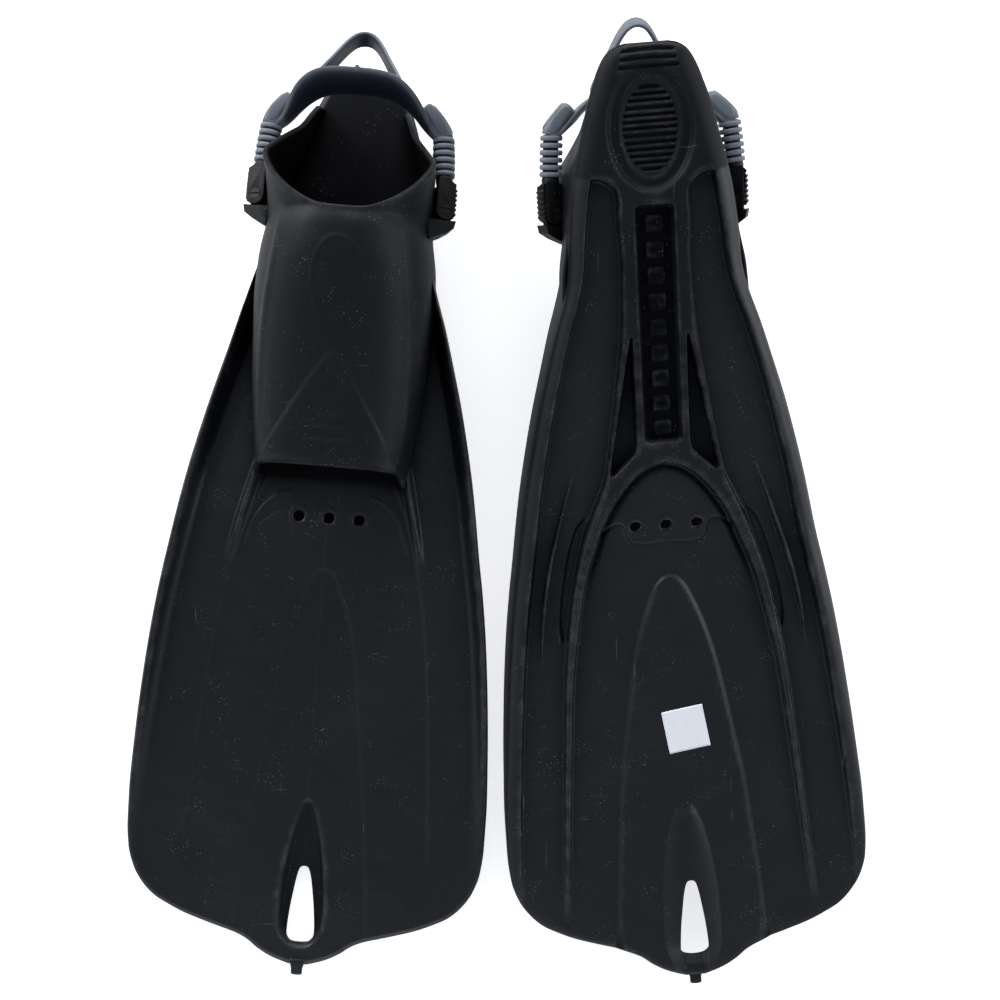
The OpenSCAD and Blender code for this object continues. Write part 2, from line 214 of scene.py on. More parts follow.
# ------------------------------------------------------------------ mesh helpers
def make(name, verts, faces, smooth=True):
    mesh = bpy.data.meshes.new(name)
    mesh.from_pydata(np.asarray(verts, float).tolist(), [], faces)
    mesh.validate(clean_customdata=False)
    mesh.update()
    if smooth:
        mesh.polygons.foreach_set("use_smooth", [True] * len(mesh.polygons))
    ob = bpy.data.objects.new(name, mesh)
    bpy.context.scene.collection.objects.link(ob)
    return ob


def strip_faces(row, after, wrap=True, flip=False):
    """Quads between two rows of vertex numbers."""
    faces = []
    for i in range(len(row) if wrap else len(row) - 1):
        j = (i + 1) % len(row)
        corners = int(row[i]), int(row[j]), int(after[j]), int(after[i])
        faces.append((corners[0], *corners[:0:-1]) if flip else corners)
    return faces


def grid_faces(rows, columns, first=0, flip=False, wrap=False):
    index = (np.arange(rows * columns).reshape(rows, columns) + first).tolist()
    pairs = zip(index[:-1], index[1:])
    return [quad for row, after in pairs for quad in strip_faces(row, after, wrap, flip)]


def grid_loop(rows, columns):
    """Vertex numbers round the border of a grid."""
    return np.array(
        list(range(columns))
        + [i * columns + columns - 1 for i in range(1, rows)]
        + [(rows - 1) * columns + j for j in range(columns - 2, -1, -1)]
        + [i * columns for i in range(rows - 2, 0, -1)]
    )


def prism_faces(count, first=0):
    """Faces between a low ring and the high ring that follows it."""
    low, high = range(first, first + count), range(first + count, first + 2 * count)
    return [tuple(reversed(low)), tuple(high)] + strip_faces(low, high)


def face_outwards(ob):
    bm = bmesh.new()
    bm.from_mesh(ob.data)
    bmesh.ops.recalc_face_normals(bm, faces=bm.faces)
    bm.to_mesh(ob.data)
    bm.free()
    return ob


def set_value(ob, name, values):
    """Store one number per vertex for the materials to read."""
    attribute = ob.data.attributes.new(name, "FLOAT", "POINT")
    attribute.data.foreach_set("value", np.asarray(values, np.float32))


def apply_modifiers(ob):
    depsgraph = bpy.context.evaluated_depsgraph_get()
    mesh = bpy.data.meshes.new_from_object(ob.evaluated_get(depsgraph))
    old = ob.data
    ob.modifiers.clear()
    ob.data = mesh
    bpy.data.meshes.remove(old)


def boolean(target, tool, operation="DIFFERENCE"):
    modifier = target.modifiers.new("boolean", "BOOLEAN")
    modifier.operation = operation
    modifier.object = tool
    modifier.solver = "EXACT"
    apply_modifiers(target)
    bpy.data.objects.remove(tool)


def superellipse(count, power):
    angle = full_turn(count)
    cos, sin = np.cos(angle), np.sin(angle)
    exponent = 2.0 / power
    return np.sign(cos) * np.abs(cos) ** exponent, np.sign(sin) * np.abs(sin) ** exponent


def ring_at(centre, first_axis, second_axis, first_half, second_half, power, count):
    """Superellipse ring with its half sizes along two directions."""
    first, second = superellipse(count, power)
    return (centre + np.outer(first * first_half, first_axis)
            + np.outer(second * second_half, second_axis))


def loft(name, rings, **values):
    """Skin over closed rings (m, k, 3), capped by fans; values per ring or per ring and point."""
    rings = np.asarray(rings, float)
    count, size = rings.shape[:2]
    verts = np.vstack([rings.reshape(-1, 3), rings[0].mean(0), rings[-1].mean(0)])
    faces = grid_faces(count, size, wrap=True)
    last = (count - 1) * size
    for j in range(size):
        after = (j + 1) % size
        faces.append((count * size, after, j))
        faces.append((count * size + 1, last + j, last + after))
    ob = face_outwards(make(name, verts, faces))
    for key, value in values.items():
        value = np.asarray(value, float)
        if value.ndim == 1:
            value = np.repeat(value[:, None], size, 1)
        set_value(ob, key, np.concatenate([value.ravel(), [value[0].mean(), value[-1].mean()]]))
    return ob


def join(name, parts):
    """One mesh of several, with their vertex numbers; 0 where a part has none."""
    keys = {a.name for part in parts for a in part.data.attributes
            if a.data_type == "FLOAT" and a.domain == "POINT"}
    values = {key: [] for key in sorted(keys)}
    verts, faces, first = [], [], 0
    for part in parts:
        count = len(part.data.vertices)
        places = np.empty(count * 3)
        part.data.vertices.foreach_get("co", places)
        verts.append(places.reshape(-1, 3))
        faces += [tuple(i + first for i in face.vertices) for face in part.data.polygons]
        for key in values:
            attribute = part.data.attributes.get(key)
            numbers = np.zeros(count)
            if attribute:
                attribute.data.foreach_get("value", numbers)
            values[key].append(numbers)
        first += count
    ob = make(name, np.vstack(verts), faces)
    for key, numbers in values.items():
        set_value(ob, key, np.concatenate(numbers))
    for part in parts:
        bpy.data.objects.remove(part)
    return ob


# ------------------------------------------------------------------ body outlines
# Plan outline: (along, half width)
OUTLINE = [
    (0, 12.5), (0.9, 16.8), (2.6, 20.5), (5, 23.4), (9, 26.2), (15, 29.2), (22.5, 32.0),
    (33.5, 35.8), (46, 39.0), (56, 41.5), (66, 44.0), (80, 47), (93, 48.9), (110, 51), (118, 52),
    (132, 54.9), (144, 58.2), (165, 65.5), (190, 73), (215, 80), (240, 86), (265, 91.3),
    (300, 97.5), (330, 103), (360, 107.5), (400, 112), (440, 115.3), (480, 117.4), (500, 117.5),
    (517, 116.2), (531, 112), (541.5, 105.5), (549.7, 97), (554.7, 88), (559.7, 77), (564.7, 62),
    (569.7, 46), (574.7, 35), (580.7, 27), (585.7, 18), (588.7, 9.5), (LENGTH, 6)]
# Dorsal crest of the side rails: (along, height)
RAIL_TOP = [
    (0, 9), (12, 11), (30, 12), (112, 12), (122, 30), (132, 45), (144, 44), (160, 38), (175, 33),
    (190, 29.5), (215, 26.5), (250, 25.2), (300, 24), (350, 22.5), (400, 20.5), (450, 17.5),
    (490, 14.6), (520, 12.5), (545, 12), (LENGTH, 11.6)]

# Plan outlines of the +x half: (x, along). Closed ones run past the centre line to negative x.
HEEL_PLATE = np.vstack([[-70, -6], smooth_path([
    (20, -6), (66, -5), (66, 50), (54, 68), (40, 73.5), (32.5, 74.2), (27, 76.5), (21.5, 82),
    (19.6, 92), (10, 96), (0, 96)], 6), [-70, 96]])
ARCH_OUT = smooth_path([
    (0, 80), (19.5, 86), (20.3, 127), (22, 160), (23.8, 178), (29.5, 215), (34.5, 246), (38, 260),
    (45, 276), (53, 297), (61, 325), (67.5, 360), (71.5, 390), (75.7, 440), (80, 500),
    (83.5, 548)])
ARCH_IN = smooth_path([
    (80.6, 548), (76.5, 500), (71.4, 440), (66.6, 390), (62, 361), (54.6, 326), (46, 301),
    (38, 282), (26, 264), (13, 252.5), (0, 248)])
ARCH = np.vstack([[-60, 80], ARCH_OUT, ARCH_IN, [-60, 248]])
# Narrow opening in each arch leg
TRIANGLE = smooth_path([
    (17.3, 169), (18.6, 174), (27, 216), (33.5, 250), (32.6, 253.5), (29, 251), (21, 243.5),
    (17.6, 239), (16.8, 225), (17, 180), (17.3, 169)], 6)
# End line of the tongue inside the arch
KEY = smooth_path([
    (0, 301.5), (19, 301.5), (24.5, 298), (26.8, 290.5), (30, 287.4), (34, 288), (40, 292),
    (46, 297)])
CHANNEL = [(-30, 91), (8.5, 91), (10.7, 91.9), (11.4, 94), (11.6, 231), (11.0, 233.6),
           (8.8, 234.5), (-30, 234.5)]
CRESCENT = smooth_path([(57, 252), (63, 268), (71, 292), (78.5, 318), (84, 345), (87.5, 376)])
STEP = smooth_path([(50, 281), (57, 288), (63.5, 305), (69.5, 330), (72, 350), (70, 362),
                    (65, 345), (60, 322), (54, 300)], 6)
WEB = smooth_path([(47, 256), (50, 268), (56, 292), (60.5, 311), (63.5, 326)])
SWEEP = smooth_path([(26.5, 275.5), (33, 277.5), (40, 283), (47, 293), (53, 309)])
# Half of the vent through the scoop
VENT = np.array([
    (0, 523.8), (2.2, 524.5), (3.8, 527.6), (5.3, 534.2), (6.6, 542.7), (7.8, 551.2), (8.7, 560.2),
    (9.2, 568.2), (8.8, 572.6), (6.6, 574.8), (3.4, 575.6), (0, 575.8)])


def panel_outline(points):
    """V-nosed panel in the middle of the blade, closed on the -x side."""
    return np.vstack([smooth_path(points), [(-60, 620), (-60, 340), (-points[3][0], 340)]])


PANEL_SOLE = panel_outline([
    (-8, 328), (0, 323), (8, 328), (14, 340), (19, 353), (24.5, 372), (29.5, 397), (35, 430),
    (40, 463), (45, 517), (48.5, 566), (50, 620)])
PANEL_TOP = panel_outline([
    (-7, 328), (0, 323), (7, 328), (12, 340), (18, 356), (22, 372), (26, 398), (30, 432),
    (35, 470), (40, 517), (44, 566), (45, 620)])
# Hollow round the vent, dorsal side: (along, half width)
LEAF = [(476, 0.0), (478.5, 2.8), (483, 4.8), (492, 7.4), (508, 10.8), (530, 13.8), (552, 15.6),
        (565, 15.0), (571, 12.4), (575, 8.4), (577, 4.6), (578, 0.0)]
# Hood round the vent, sole side, open towards the tip: (along, half width)
HOOD = [(472, 0.0), (475, 4.0), (482, 7.6), (493, 11.0), (512, 14.6), (540, 17.2), (565, 17.6),
        (578, 14.8), (586, 12.0), (600, 9.0)]


def leaf_distance(plan, count):
    """Signed distance to the leaf hollow, its outline drawn with count points."""
    along = np.linspace(476, 578, count)
    return edge_distance(plan, np.vstack([np.stack([curve(LEAF, along), along], -1),
                                          [(-30, 578), (-30, 476)]]))


def rim_distance(plan):
    """Distance from plan points to the fin's outline, at most 60."""
    along = plan[:, 1]
    stations = np.linspace(0, LENGTH, 1200)
    outline = np.stack([curve(OUTLINE, stations), stations], -1)
    edge = np.vstack([[0, 0], outline, [0, LENGTH]])
    distance = np.full(len(plan), 1e9)
    # Each band of points only searches the outline near it
    for band in np.array_split(np.argsort(along), 60):
        low, high = along[band].min() - 26, along[band].max() + 26
        near = np.where((edge[:, 1] >= low) & (edge[:, 1] <= high))[0]
        distance[band] = path_distance(plan[band], edge[max(near[0] - 1, 0):near[-1] + 2])
    return np.minimum(distance, 60)


# ------------------------------------------------------------------ body surfaces
# Tables inside these functions are (along, value) unless noted.
def raised_ribs(along, rim, ribs_gap):
    """How far the heel plate, arch and side rails stand out of the sheet's underside."""
    rail_width = curve([(0, 9), (75, 9.3), (172, 8.6), (250, 9.6), (300, 10), (360, 9.8),
                        (440, 9.3), (500, 8), (525, 4.5), (540, 0), (600, -4)], along)
    rib_depth = curve([(-10, 8), (300, 8), (330, 7.6), (420, 5.6), (500, 3.6), (545, 2.0),
                       (LENGTH, 1.2)], along)
    rail_depth = curve([(-10, 8), (170, 7.6), (300, 7), (420, 5.2), (490, 3.6), (520, 2.2),
                        (545, 0), (600, 0)], along)
    raised = np.maximum(rib_depth * fall(-1.0, 1.15, ribs_gap),
                        rail_depth * fall(-1.3, 1.5, rim - rail_width))
    # The ends of the arch legs fade out
    return raised * (1 - rise(525, 552, along) * (ribs_gap < 3))


def sole_chamfer(along, rim):
    height = curve([(0, 4.5), (14, 5.5), (60, 5.6), (120, 5.2), (200, 5), (300, 4.6), (420, 3.2),
                    (500, 1.8), (540, 0.8), (LENGTH, 0.6)], along)
    width = curve([(0, 6.5), (20, 10.5), (90, 11), (130, 9.2), (300, 7.8), (500, 7.4),
                   (LENGTH, 4)], along)
    part = np.clip(1 - rim / width, 0, 1)
    # A blend of a soft ramp and an almost full quarter round
    reach = 0.985
    quarter = 1 - np.sqrt(np.maximum(1 - (reach * part) ** 2, 0))
    return height * (0.45 * part ** 1.6 + 0.55 * quarter / (1 - math.sqrt(1 - reach ** 2)))


def heel_marks(x, along):
    """Grip grooves at the heel edge and the oval medallion."""
    height = np.zeros_like(x)
    for i in range(3):
        groove = np.abs(along - (3.6 + 4.3 * i + 0.0022 * x ** 2))
        ends = fall(14.2 + 1.3 * i, 16.2 + 1.3 * i, np.abs(x))
        height = height + 1.9 * fall(0.6, 1.5, groove) * ends
    # Moat, then a thin ring, then grip bars inside the ring
    moat = np.sqrt((x / 26.6) ** 2 + ((along - MEDALLION) / 37.6) ** 2)
    height = height + 3.5 * fall(0.87, 1.01, moat) * (0.55 + 0.45 * rise(14, 62, along))
    ring = np.sqrt((x / 19.4) ** 2 + ((along - MEDALLION) / 30.2) ** 2)
    height = height - 0.8 * rise(0.88, 0.93, ring) * fall(0.97, 1.02, ring)
    bar_pitch = 3.9
    bars = 0.5 + 0.5 * np.cos((along - MEDALLION) * 2 * math.pi / bar_pitch)
    return height + 2.2 * rise(0.34, 0.66, bars) * fall(0.80, 0.86, ring)


def channel_marks(plan):
    """Centre channel with a row of nine studs, each with a slot across it."""
    abs_x, along = plan.T
    first, pitch, last = 101.5, 15.6, 8
    height = 4.9 * fall(-0.9, 0.9, edge_distance(plan, CHANNEL))
    place = (along - first) / pitch
    nearest = np.clip(np.round(place), 0, last)
    gap = np.abs(along - (first + nearest * pitch))
    in_row = np.abs(place - nearest) < 0.5
    stud = np.hypot(np.maximum(abs_x - 3.6, 0), np.maximum(gap - 3.0, 0)) - 1.9
    slot = np.hypot(np.maximum(abs_x - 2.4, 0), gap) - 0.7
    return height + (0.7 * fall(-0.6, 0.6, slot) - 1.9 * fall(-0.6, 0.7, stud)) * in_row


def sole_skin(x, along, plan, rim):
    """Height of the sole side, without scoop and drain rims."""
    arch_gap = np.maximum(edge_distance(plan, ARCH), -edge_distance(plan, TRIANGLE))
    ribs_gap = np.minimum(edge_distance(plan, HEEL_PLATE), arch_gap)
    height = SHEET - raised_ribs(along, rim, ribs_gap)
    height = height + sole_chamfer(along, rim) + heel_marks(x, along) + channel_marks(plan)
    # Tongue inside the arch, and the line at its end
    in_arch = is_inside(plan, np.vstack([ARCH_IN, [(0, 620), (80.6, 620)]]))
    inset = np.where(in_arch, path_distance(plan, ARCH_IN), 0)
    height = height - 2.2 * rise(0.5, 6.5, inset) * (along > 240) * fall(300, 345, along)
    height = height + fall(0.25, 1.0, path_distance(plan, KEY)) * (along > 270)
    # Blade centre panel, and the pockets beside the arch legs
    height = height - 2.0 * fall(-1.6, 1.6, edge_distance(plan, PANEL_SOLE)) * (along > 300)
    height = height + 1.3 * fall(-1.0, 1.0, edge_distance(plan, STEP)) * (arch_gap > 0)
    # Crescent fins: highest and widest half way
    part = np.clip((along - 252) / (376 - 252), 0, 1)
    tall = 6.2 * np.sin(math.pi * part) ** 0.7
    wide = 0.5 + 1.9 * np.sin(math.pi * part) ** 0.8
    crescent = tall * fall(0.25, 1.0, path_distance(plan, CRESCENT) / wide)
    return height - crescent * (along > 250) * (along < 378)


def blade_dashes(plan):
    """Eight faint raised dashes down each half of the blade."""
    abs_x, along = plan.T
    first, pitch, last = 346, 26.0, 7
    number = np.round((along - first) / pitch)
    offset = along - (first + pitch * number)
    aside = abs_x - (44 + 0.085 * (along - 430)) + 0.18 * offset
    dash = np.hypot(np.maximum(np.abs(aside) - 6.5, 0), np.maximum(np.abs(offset) - 5.5, 0)) - 4
    return 0.20 * fall(-2.2, 1.6, dash) * ((number >= 0) & (number <= last))


def top_skin(along, plan, rim):
    """Height of the dorsal side, without scoop and drain rims."""
    # Rail section: (scaled distance from the rim, share of the rail's height)
    widen = curve([(0, 1), (118, 1.5), (160, 1.35), (200, 1.12), (300, 1.0), (600, 1.0)], along)
    share = curve([(0, 0.84), (0.8, 0.95), (1.8, 1.0), (3.0, 0.96), (4.2, 0.80), (6.2, 0.42),
                   (8.6, 0.12), (11, 0), (80, 0)], rim * widen)
    height = curve([(0, 10.6), (10, 11.6), (25, 12), (540, 12), (570, 11.7), (LENGTH, 11.4)],
                   along)
    height = height + np.maximum(curve(RAIL_TOP, along) - 12, 0) * share
    # Round the thin edge
    edge_width = curve([(0, 4), (20, 5), (118, 4), (480, 2.4), (LENGTH, 3.2)], along)
    edge_drop = curve([(0, 3.2), (60, 2.0), (118, 0.6), (300, 0.4), (500, 0.8), (LENGTH, 1.6)],
                      along)
    height = height - edge_drop * np.clip(1 - rim / edge_width, 0, 1) ** 2
    # Stepped arch and centre panel
    arch = edge_distance(plan, np.vstack([ARCH_OUT[ARCH_OUT[:, 1] > 240], [(0, 560), (0, 240)]]))
    height = height - (0.9 * fall(-1.3, 1.3, arch) * rise(262, 272, along)
                       * fall(500, 548, along))
    height = height - 0.8 * fall(-1.7, 1.7, edge_distance(plan, PANEL_TOP)) * (along > 300)
    # Webs running on from the corners of the pocket's toe end
    part = np.clip((along - 258) / (326 - 258), 0, 1)
    height = height + (9.5 * (1 - part) ** 1.2 * fall(0.2, 4.2, path_distance(plan, WEB))
                       * rise(250, 256, along))
    for path, lift in ((SWEEP, 0.55), (KEY[KEY[:, 1] < 300], -0.35)):
        height = height + lift * fall(0.4, 1.5, path_distance(plan, path)) * (along > 262)
    return height + blade_dashes(plan)


def skins(x, along):
    """Sole-side and dorsal-side heights of the straight fin body."""
    abs_x = np.abs(x)
    plan = np.stack([abs_x, along], -1)
    rim = rim_distance(plan)
    sole, top = sole_skin(x, along, plan, rim), top_skin(along, plan, rim)
    # Each drain hole has a lip round it and a dish within, on both sides
    for drain_x in DRAINS_X:
        radius = np.hypot(x - drain_x, along - DRAINS_ALONG)
        lip = 0.4 * fall(0.4, 1.6, np.abs(radius - 5.2))
        dish = 0.5 * fall(3.4, 4.6, radius)
        top = top + lip - dish
        sole = sole - lip * 0.8 + dish
    # Vent scoop: both skins dip to the sole side
    leaf = np.where((along > 470) & (along < 586), leaf_distance(plan, 120), 20)
    top = top - (2.0 + 4.6 * rise(480, 545, along)) * fall(-3.8, 1.4, leaf)
    hood_half = np.maximum(curve(HOOD, along), 0.4) + 1.2
    dome = np.clip(1 - (abs_x / hood_half) ** 2, 0, 1) ** 0.8 * rise(469, 482, along)
    bulge = curve([(460, 0.0), (468, 1.6), (485, 3.0), (520, 4.6), (548, 5.1), (566, 4.5),
                   (578, 2.2), (LENGTH, 0.0)], along)
    # Dished mouth between the vent and the tip
    mouth = 2.6 * fall(5.5, 9.5, abs_x) * rise(570, 575, along) * fall(583, 589, along)
    sole = sole - bulge * dome + mouth
    return sole, np.maximum(top, sole + 1.7)  # never thinner than 1.7


def top_matte_and_shade(x, along):
    """Duller finish of the footbed and of the scoop, darkened there too; on the footbed the darkening is
    painted shade inside the pocket and under the toe lip.
    """
    half = curve([(0, 14), (9, 23), (22, 29), (34, 33.5), (56, 40), (80, 47), (110, 52.2),
                  (160, 57.4), (220, 53.3), (262, 48.2), (300, 47)], along)
    leaf = leaf_distance(np.stack([np.abs(x), along], -1), 60)
    # Painted shade on the footbed: full under the toe lip, a little less towards the heel
    footbed = ((0.88 + 0.12 * rise(228, 250, along)) * fall(264, 275, along)
               * fall(half - 1.5, half + 1.0, np.abs(x)))
    return np.maximum(footbed, 0.62 * fall(-2.0, 0.5, leaf) * (along > 470))


def sole_matte_and_shade(x, along):
    """Duller, darker rubber of the heel plate and its arch, and painted shade darkening the channel fully.
    """
    plan = np.stack([np.abs(x), along], -1)
    near = np.minimum(edge_distance(plan, HEEL_PLATE), edge_distance(plan, ARCH))
    return np.maximum(0.62 * fall(-1.5, 1.0, near) * fall(190, 420, along),
                      fall(-1.2, 0.4, edge_distance(plan, CHANNEL)))


def edge_wear(height, sign):
    """Wear where a grid of heights stands out of its own smoothed copy."""
    smooth = height
    for _ in range(14):
        soft = smooth.copy()
        soft[1:-1] += 0.25 * (smooth[:-2] + smooth[2:] - 2 * smooth[1:-1])
        soft[:, 1:-1] += 0.25 * (smooth[:, :-2] + smooth[:, 2:] - 2 * smooth[:, 1:-1])
        smooth = soft
    return np.clip((height - smooth) * sign / 0.9, 0, 1).ravel()


# ------------------------------------------------------------------ fin body
def build_tip_nub():
    """Small nub at the tip; stations are (along, half width, half height)."""
    stations = ((586.0, 5.4, 1.3), (589.0, 5.0, 1.35), (591.0, 4.3, 1.3), (593.0, 3.8, 1.25),
                (595.0, 3.8, 1.25), (596.6, 3.8, 1.2), (597.3, 2.8, 0.8))
    rings = []
    for along, half_width, half_height in stations:
        centre = np.array([0.0, -along, 9.9 - 0.05 * (along - stations[0][0])])
        flat = ring_at(centre, ACROSS, UP, half_width, half_height, 2.6, 24)
        rings.append(bend(flat[:, 0], -flat[:, 1], flat[:, 2]))
    return loft("tip_nub", rings)


def build_cutter():
    """Prisms for the vent and the drain holes."""
    vent = np.vstack([VENT, (VENT * (-1, 1))[::-1][1:-1], VENT[:1]])
    outlines = [smooth_path(vent, 3)[:-1]]
    outlines += [circle(DRAIN_RADIUS, 40, x, DRAINS_ALONG) for x in DRAINS_X]
    verts, faces, first = [], [], 0
    for outline in outlines:
        for z in (-25.0, 45.0):
            verts.append(bend(outline[:, 0], outline[:, 1], np.full(len(outline), z)))
        faces += prism_faces(len(outline), first)
        first += 2 * len(outline)
    return face_outwards(make("cutter", np.vstack(verts), faces))


def build_body():
    """Sheet, rails and sole frame in one skin, with vent, drain holes and tip nub."""
    columns, rows = ((243, 580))
    # Columns crowd towards the rails, rows towards both ends
    spread = np.linspace(-1, 1, columns)
    spread = np.sign(spread) * (1 - (1 - np.abs(spread)) ** 1.12)
    stations = np.linspace(0, 1, rows)
    stations = LENGTH * (stations - 0.018 * np.sin(2 * math.pi * stations))
    spread, along = [grid.ravel() for grid in np.meshgrid(spread, stations)]
    half_width = curve(OUTLINE, along)
    x = spread * half_width
    sole, top = skins(x, along)
    # The rails lean outwards, so the sole side is a little narrower
    lean = curve([(0, 0.0), (105, 0.2), (140, 2.6), (250, 3.6), (400, 3.2), (500, 1.2),
                  (540, 0.0), (600, 0.0)], along)
    sole_x = x - np.sign(x) * lean * rise(0.60, 1.0, np.abs(x) / half_width)
    count = rows * columns
    verts = [bend(x, along, top), bend(sole_x, along, sole)]
    faces = grid_faces(rows, columns, flip=True) + grid_faces(rows, columns, count)
    wear = [edge_wear(top.reshape(rows, columns), 1), edge_wear(sole.reshape(rows, columns), -1)]
    # Duller finish, with painted shade on the footbed and in the channel
    matte = [top_matte_and_shade(x, along), sole_matte_and_shade(x, along)]

    # A rounded wall joins the two skins round the outline
    loop = grid_loop(rows, columns)
    rim = np.stack([x, along], -1)[loop]
    tangent = np.roll(rim, -1, 0) - np.roll(rim, 1, 0)
    tangent = tangent / np.maximum(np.linalg.norm(tangent, axis=1, keepdims=True), 1e-9)
    normal = np.stack([tangent[:, 1], -tangent[:, 0]], -1)
    outward = normal[:, 0] * rim[:, 0] + normal[:, 1] * (rim[:, 1] - 300) > 0
    normal = np.where(outward[:, None], normal, -normal)
    steps, bulge = 6, 0.9
    rings = [loop]
    for i in range(1, steps):
        share = 0.5 - 0.5 * math.cos(math.pi * i / steps)
        height = top[loop] + (sole - top)[loop] * share
        wall = rim + normal * bulge * math.sin(math.pi * i / steps)
        verts.append(bend(wall[:, 0] + (sole_x - x)[loop] * share, wall[:, 1], height))
        wear.append(np.full(len(loop), 0.35 if i in (1, steps - 1) else 0.12))
        matte.append(np.full(len(loop), 0.35))
        rings.append(np.arange(len(loop)) + 2 * count + (i - 1) * len(loop))
    rings.append(loop + count)
    for ring, after in zip(rings[:-1], rings[1:]):
        faces += strip_faces(ring, after)
    ob = make("fin_body", np.vstack(verts), faces)
    set_value(ob, "wear", np.concatenate(wear))
    set_value(ob, "matte", np.concatenate(matte))
    face_outwards(ob)
    nub = build_tip_nub()
    boolean(ob, build_cutter())
    return join("fin_body", [ob, nub])


# ------------------------------------------------------------------ foot pocket
POCKET_BASE = 9.7  # height where the walls start
# Half width at the base: (along, half width)
POCKET_HALF = [
    (0, 15), (5, 20.5), (9, 23.4), (15, 26.4), (22.5, 29.4), (33.5, 33.4), (46, 36.9), (56, 39.9),
    (66, 43), (73.5, 45.5), (80, 47), (93, 49.5), (110, 52.2), (132, 56), (160, 57.4), (190, 56),
    (220, 53.3), (250, 49.6), (268, 47.6)]
# Crown: (along, height)
POCKET_TOP = [
    (0, 126), (50, 124), (58, 122), (65, 119), (73.5, 112), (79, 109), (85, 106), (92, 102.5),
    (98.6, 100), (104, 97.2), (107.5, 95.6), (110, 95), (118, 96.2), (130, 94.8), (150, 88.6),
    (175, 79.8), (200, 72), (230, 64.5), (262, 58.5), (270, 57.2)]
# Squareness of the section: (along, superellipse power)
POCKET_POWER = [
    (0, 5), (65, 5), (73.5, 4.2), (79, 3.8), (85, 3.6), (92, 3.3), (98.6, 3.0), (104, 2.8),
    (110, 2.6), (130, 2.5), (150, 2.65), (200, 3.1), (262, 3.5), (270, 3.5)]
# Outward lean of the walls: (along, extra half width at the crown)
POCKET_LEAN = [
    (0, 0), (45, 0.3), (50, 2.5), (58, 6), (65, 9), (73.5, 12.6), (79, 11.1), (85, 7.5),
    (92, 4.6), (98.6, 2.2), (104, 0.6), (112, 0), (270, 0)]
# Foot opening in side view: (along, height)
OPENING = [
    (9, 11), (12, 13), (20, 18.5), (28, 25), (35, 31), (42, 38.5), (50, 50), (58, 61), (65, 69),
    (73.5, 75.5), (79, 79), (85, 82.5), (92, 86.2), (98.6, 89.3), (103.7, 91.3), (107.5, 92.8),
    (109.3, 93.8), (110.5, 95.5)]


def pocket_section(along, angle):
    """x and height of the pocket; angle runs from the -x base (0) over the crown to +x (pi)."""
    exponent = 2.0 / curve(POCKET_POWER, along)
    cos = np.cos(angle)
    climb = np.abs(np.sin(angle)) ** exponent
    half = curve(POCKET_HALF, along) + curve(POCKET_LEAN, along) * climb
    x = -half * np.sign(cos) * np.abs(cos) ** exponent
    # The walls bow out a little at mid height
    bow = curve([(0, 0.0), (60, 0.015), (110, 0.035), (150, 0.02), (180, 0.0), (270, 0.0)], along)
    x = x * (1 + bow * np.sin(math.pi * np.clip(climb, 0, 1)))
    return x, POCKET_BASE + (curve(POCKET_TOP, along) - POCKET_BASE) * climb


def pocket_angles(count):
    """Angles spaced evenly round the squarish section at 130 along."""
    angle = np.linspace(0, math.pi, count)
    section = pocket_section(np.full(count, 130.0), angle)
    lengths = np.hypot(*[np.diff(values) for values in section])
    travelled = np.cumsum(np.concatenate([[0], lengths])) / lengths.sum()
    return np.interp(np.linspace(0, 1, count), travelled, angle)


def opening_edge(angles):
    """Where the shell starts at each angle: past the last place that rises above OPENING."""
    stations = np.linspace(8.5, 110.4, 1000)
    limit = curve(OPENING, stations)
    edge = np.zeros(len(angles))
    for i, angle in enumerate(angles):
        height = pocket_section(stations, np.full_like(stations, angle))[1]
        over = np.where(height > limit)[0]
        edge[i] = stations[min(over[-1] + 1, len(stations) - 1)] if len(over) else stations[0]
    # Make it symmetric and smooth
    edge = (edge + edge[::-1]) / 2
    kernel = np.array([1, 4, 6, 4, 1]) / 16
    for _ in range(3):
        edge = np.convolve(np.pad(edge, 2, mode="edge"), kernel, mode="valid")
    return edge


def pocket_normals(points):
    normal = np.cross(np.gradient(points, axis=1), np.gradient(points, axis=0))
    normal /= np.maximum(np.linalg.norm(normal, axis=-1, keepdims=True), 1e-9)
    outward = points - np.array([0, 0, 30])
    outward[..., 1] = 0
    sign = np.sign(np.sum(normal * outward, -1, keepdims=True))
    return normal * np.where(sign == 0, 1, sign)


def pocket_relief(x, along, height):
    """Raised shapes on the shell, and the shoulder ridges alone for the wear."""
    abs_x = np.abs(x)
    # Pointed arch on the toe box
    arch_half = curve([(190, 0), (196, 4), (206, 11), (220, 20), (238, 31), (252, 39.5),
                       (262, 45.5), (272, 50)], along)
    arch = fall(-1.2, 1.2, abs_x - arch_half) * rise(191, 196, along) * (height > 30)
    # Shoulder ridges from the opening towards the rails
    ridge_x = curve([(95, 34), (112, 36.5), (130, 39.2), (150, 42.2), (170, 44.5), (200, 46),
                     (262, 45.5), (272, 45)], along)
    ridge = (np.exp(-((abs_x - ridge_x) / 2.2) ** 2) * rise(104, 118, along)
             * fall(225, 262, along) * (height > 25))
    # Oval ring and three short bars on the crown
    radius = np.sqrt((x / 15.0) ** 2 + ((along - 152) / 24.0) ** 2)
    oval = fall(0.025, 0.075, np.abs(radius - 1)) * (height > 40)
    bars = np.zeros_like(along)
    for i in range(3):
        gap = np.maximum(abs_x - (7 + 3.4 * i), np.abs(along - (232 + 7.4 * i)) - 1.5)
        bars = np.maximum(bars, fall(-0.7, 0.8, gap) * (height > 30))
    # Soft waviness of a flexible shell
    waves = np.sin(along / 19.0 + 0.6) * np.sin(x / 17.0) * rise(112, 140, along)
    return 0.9 * arch + ridge + 0.5 * oval + 0.55 * bars + 0.21 * waves, ridge


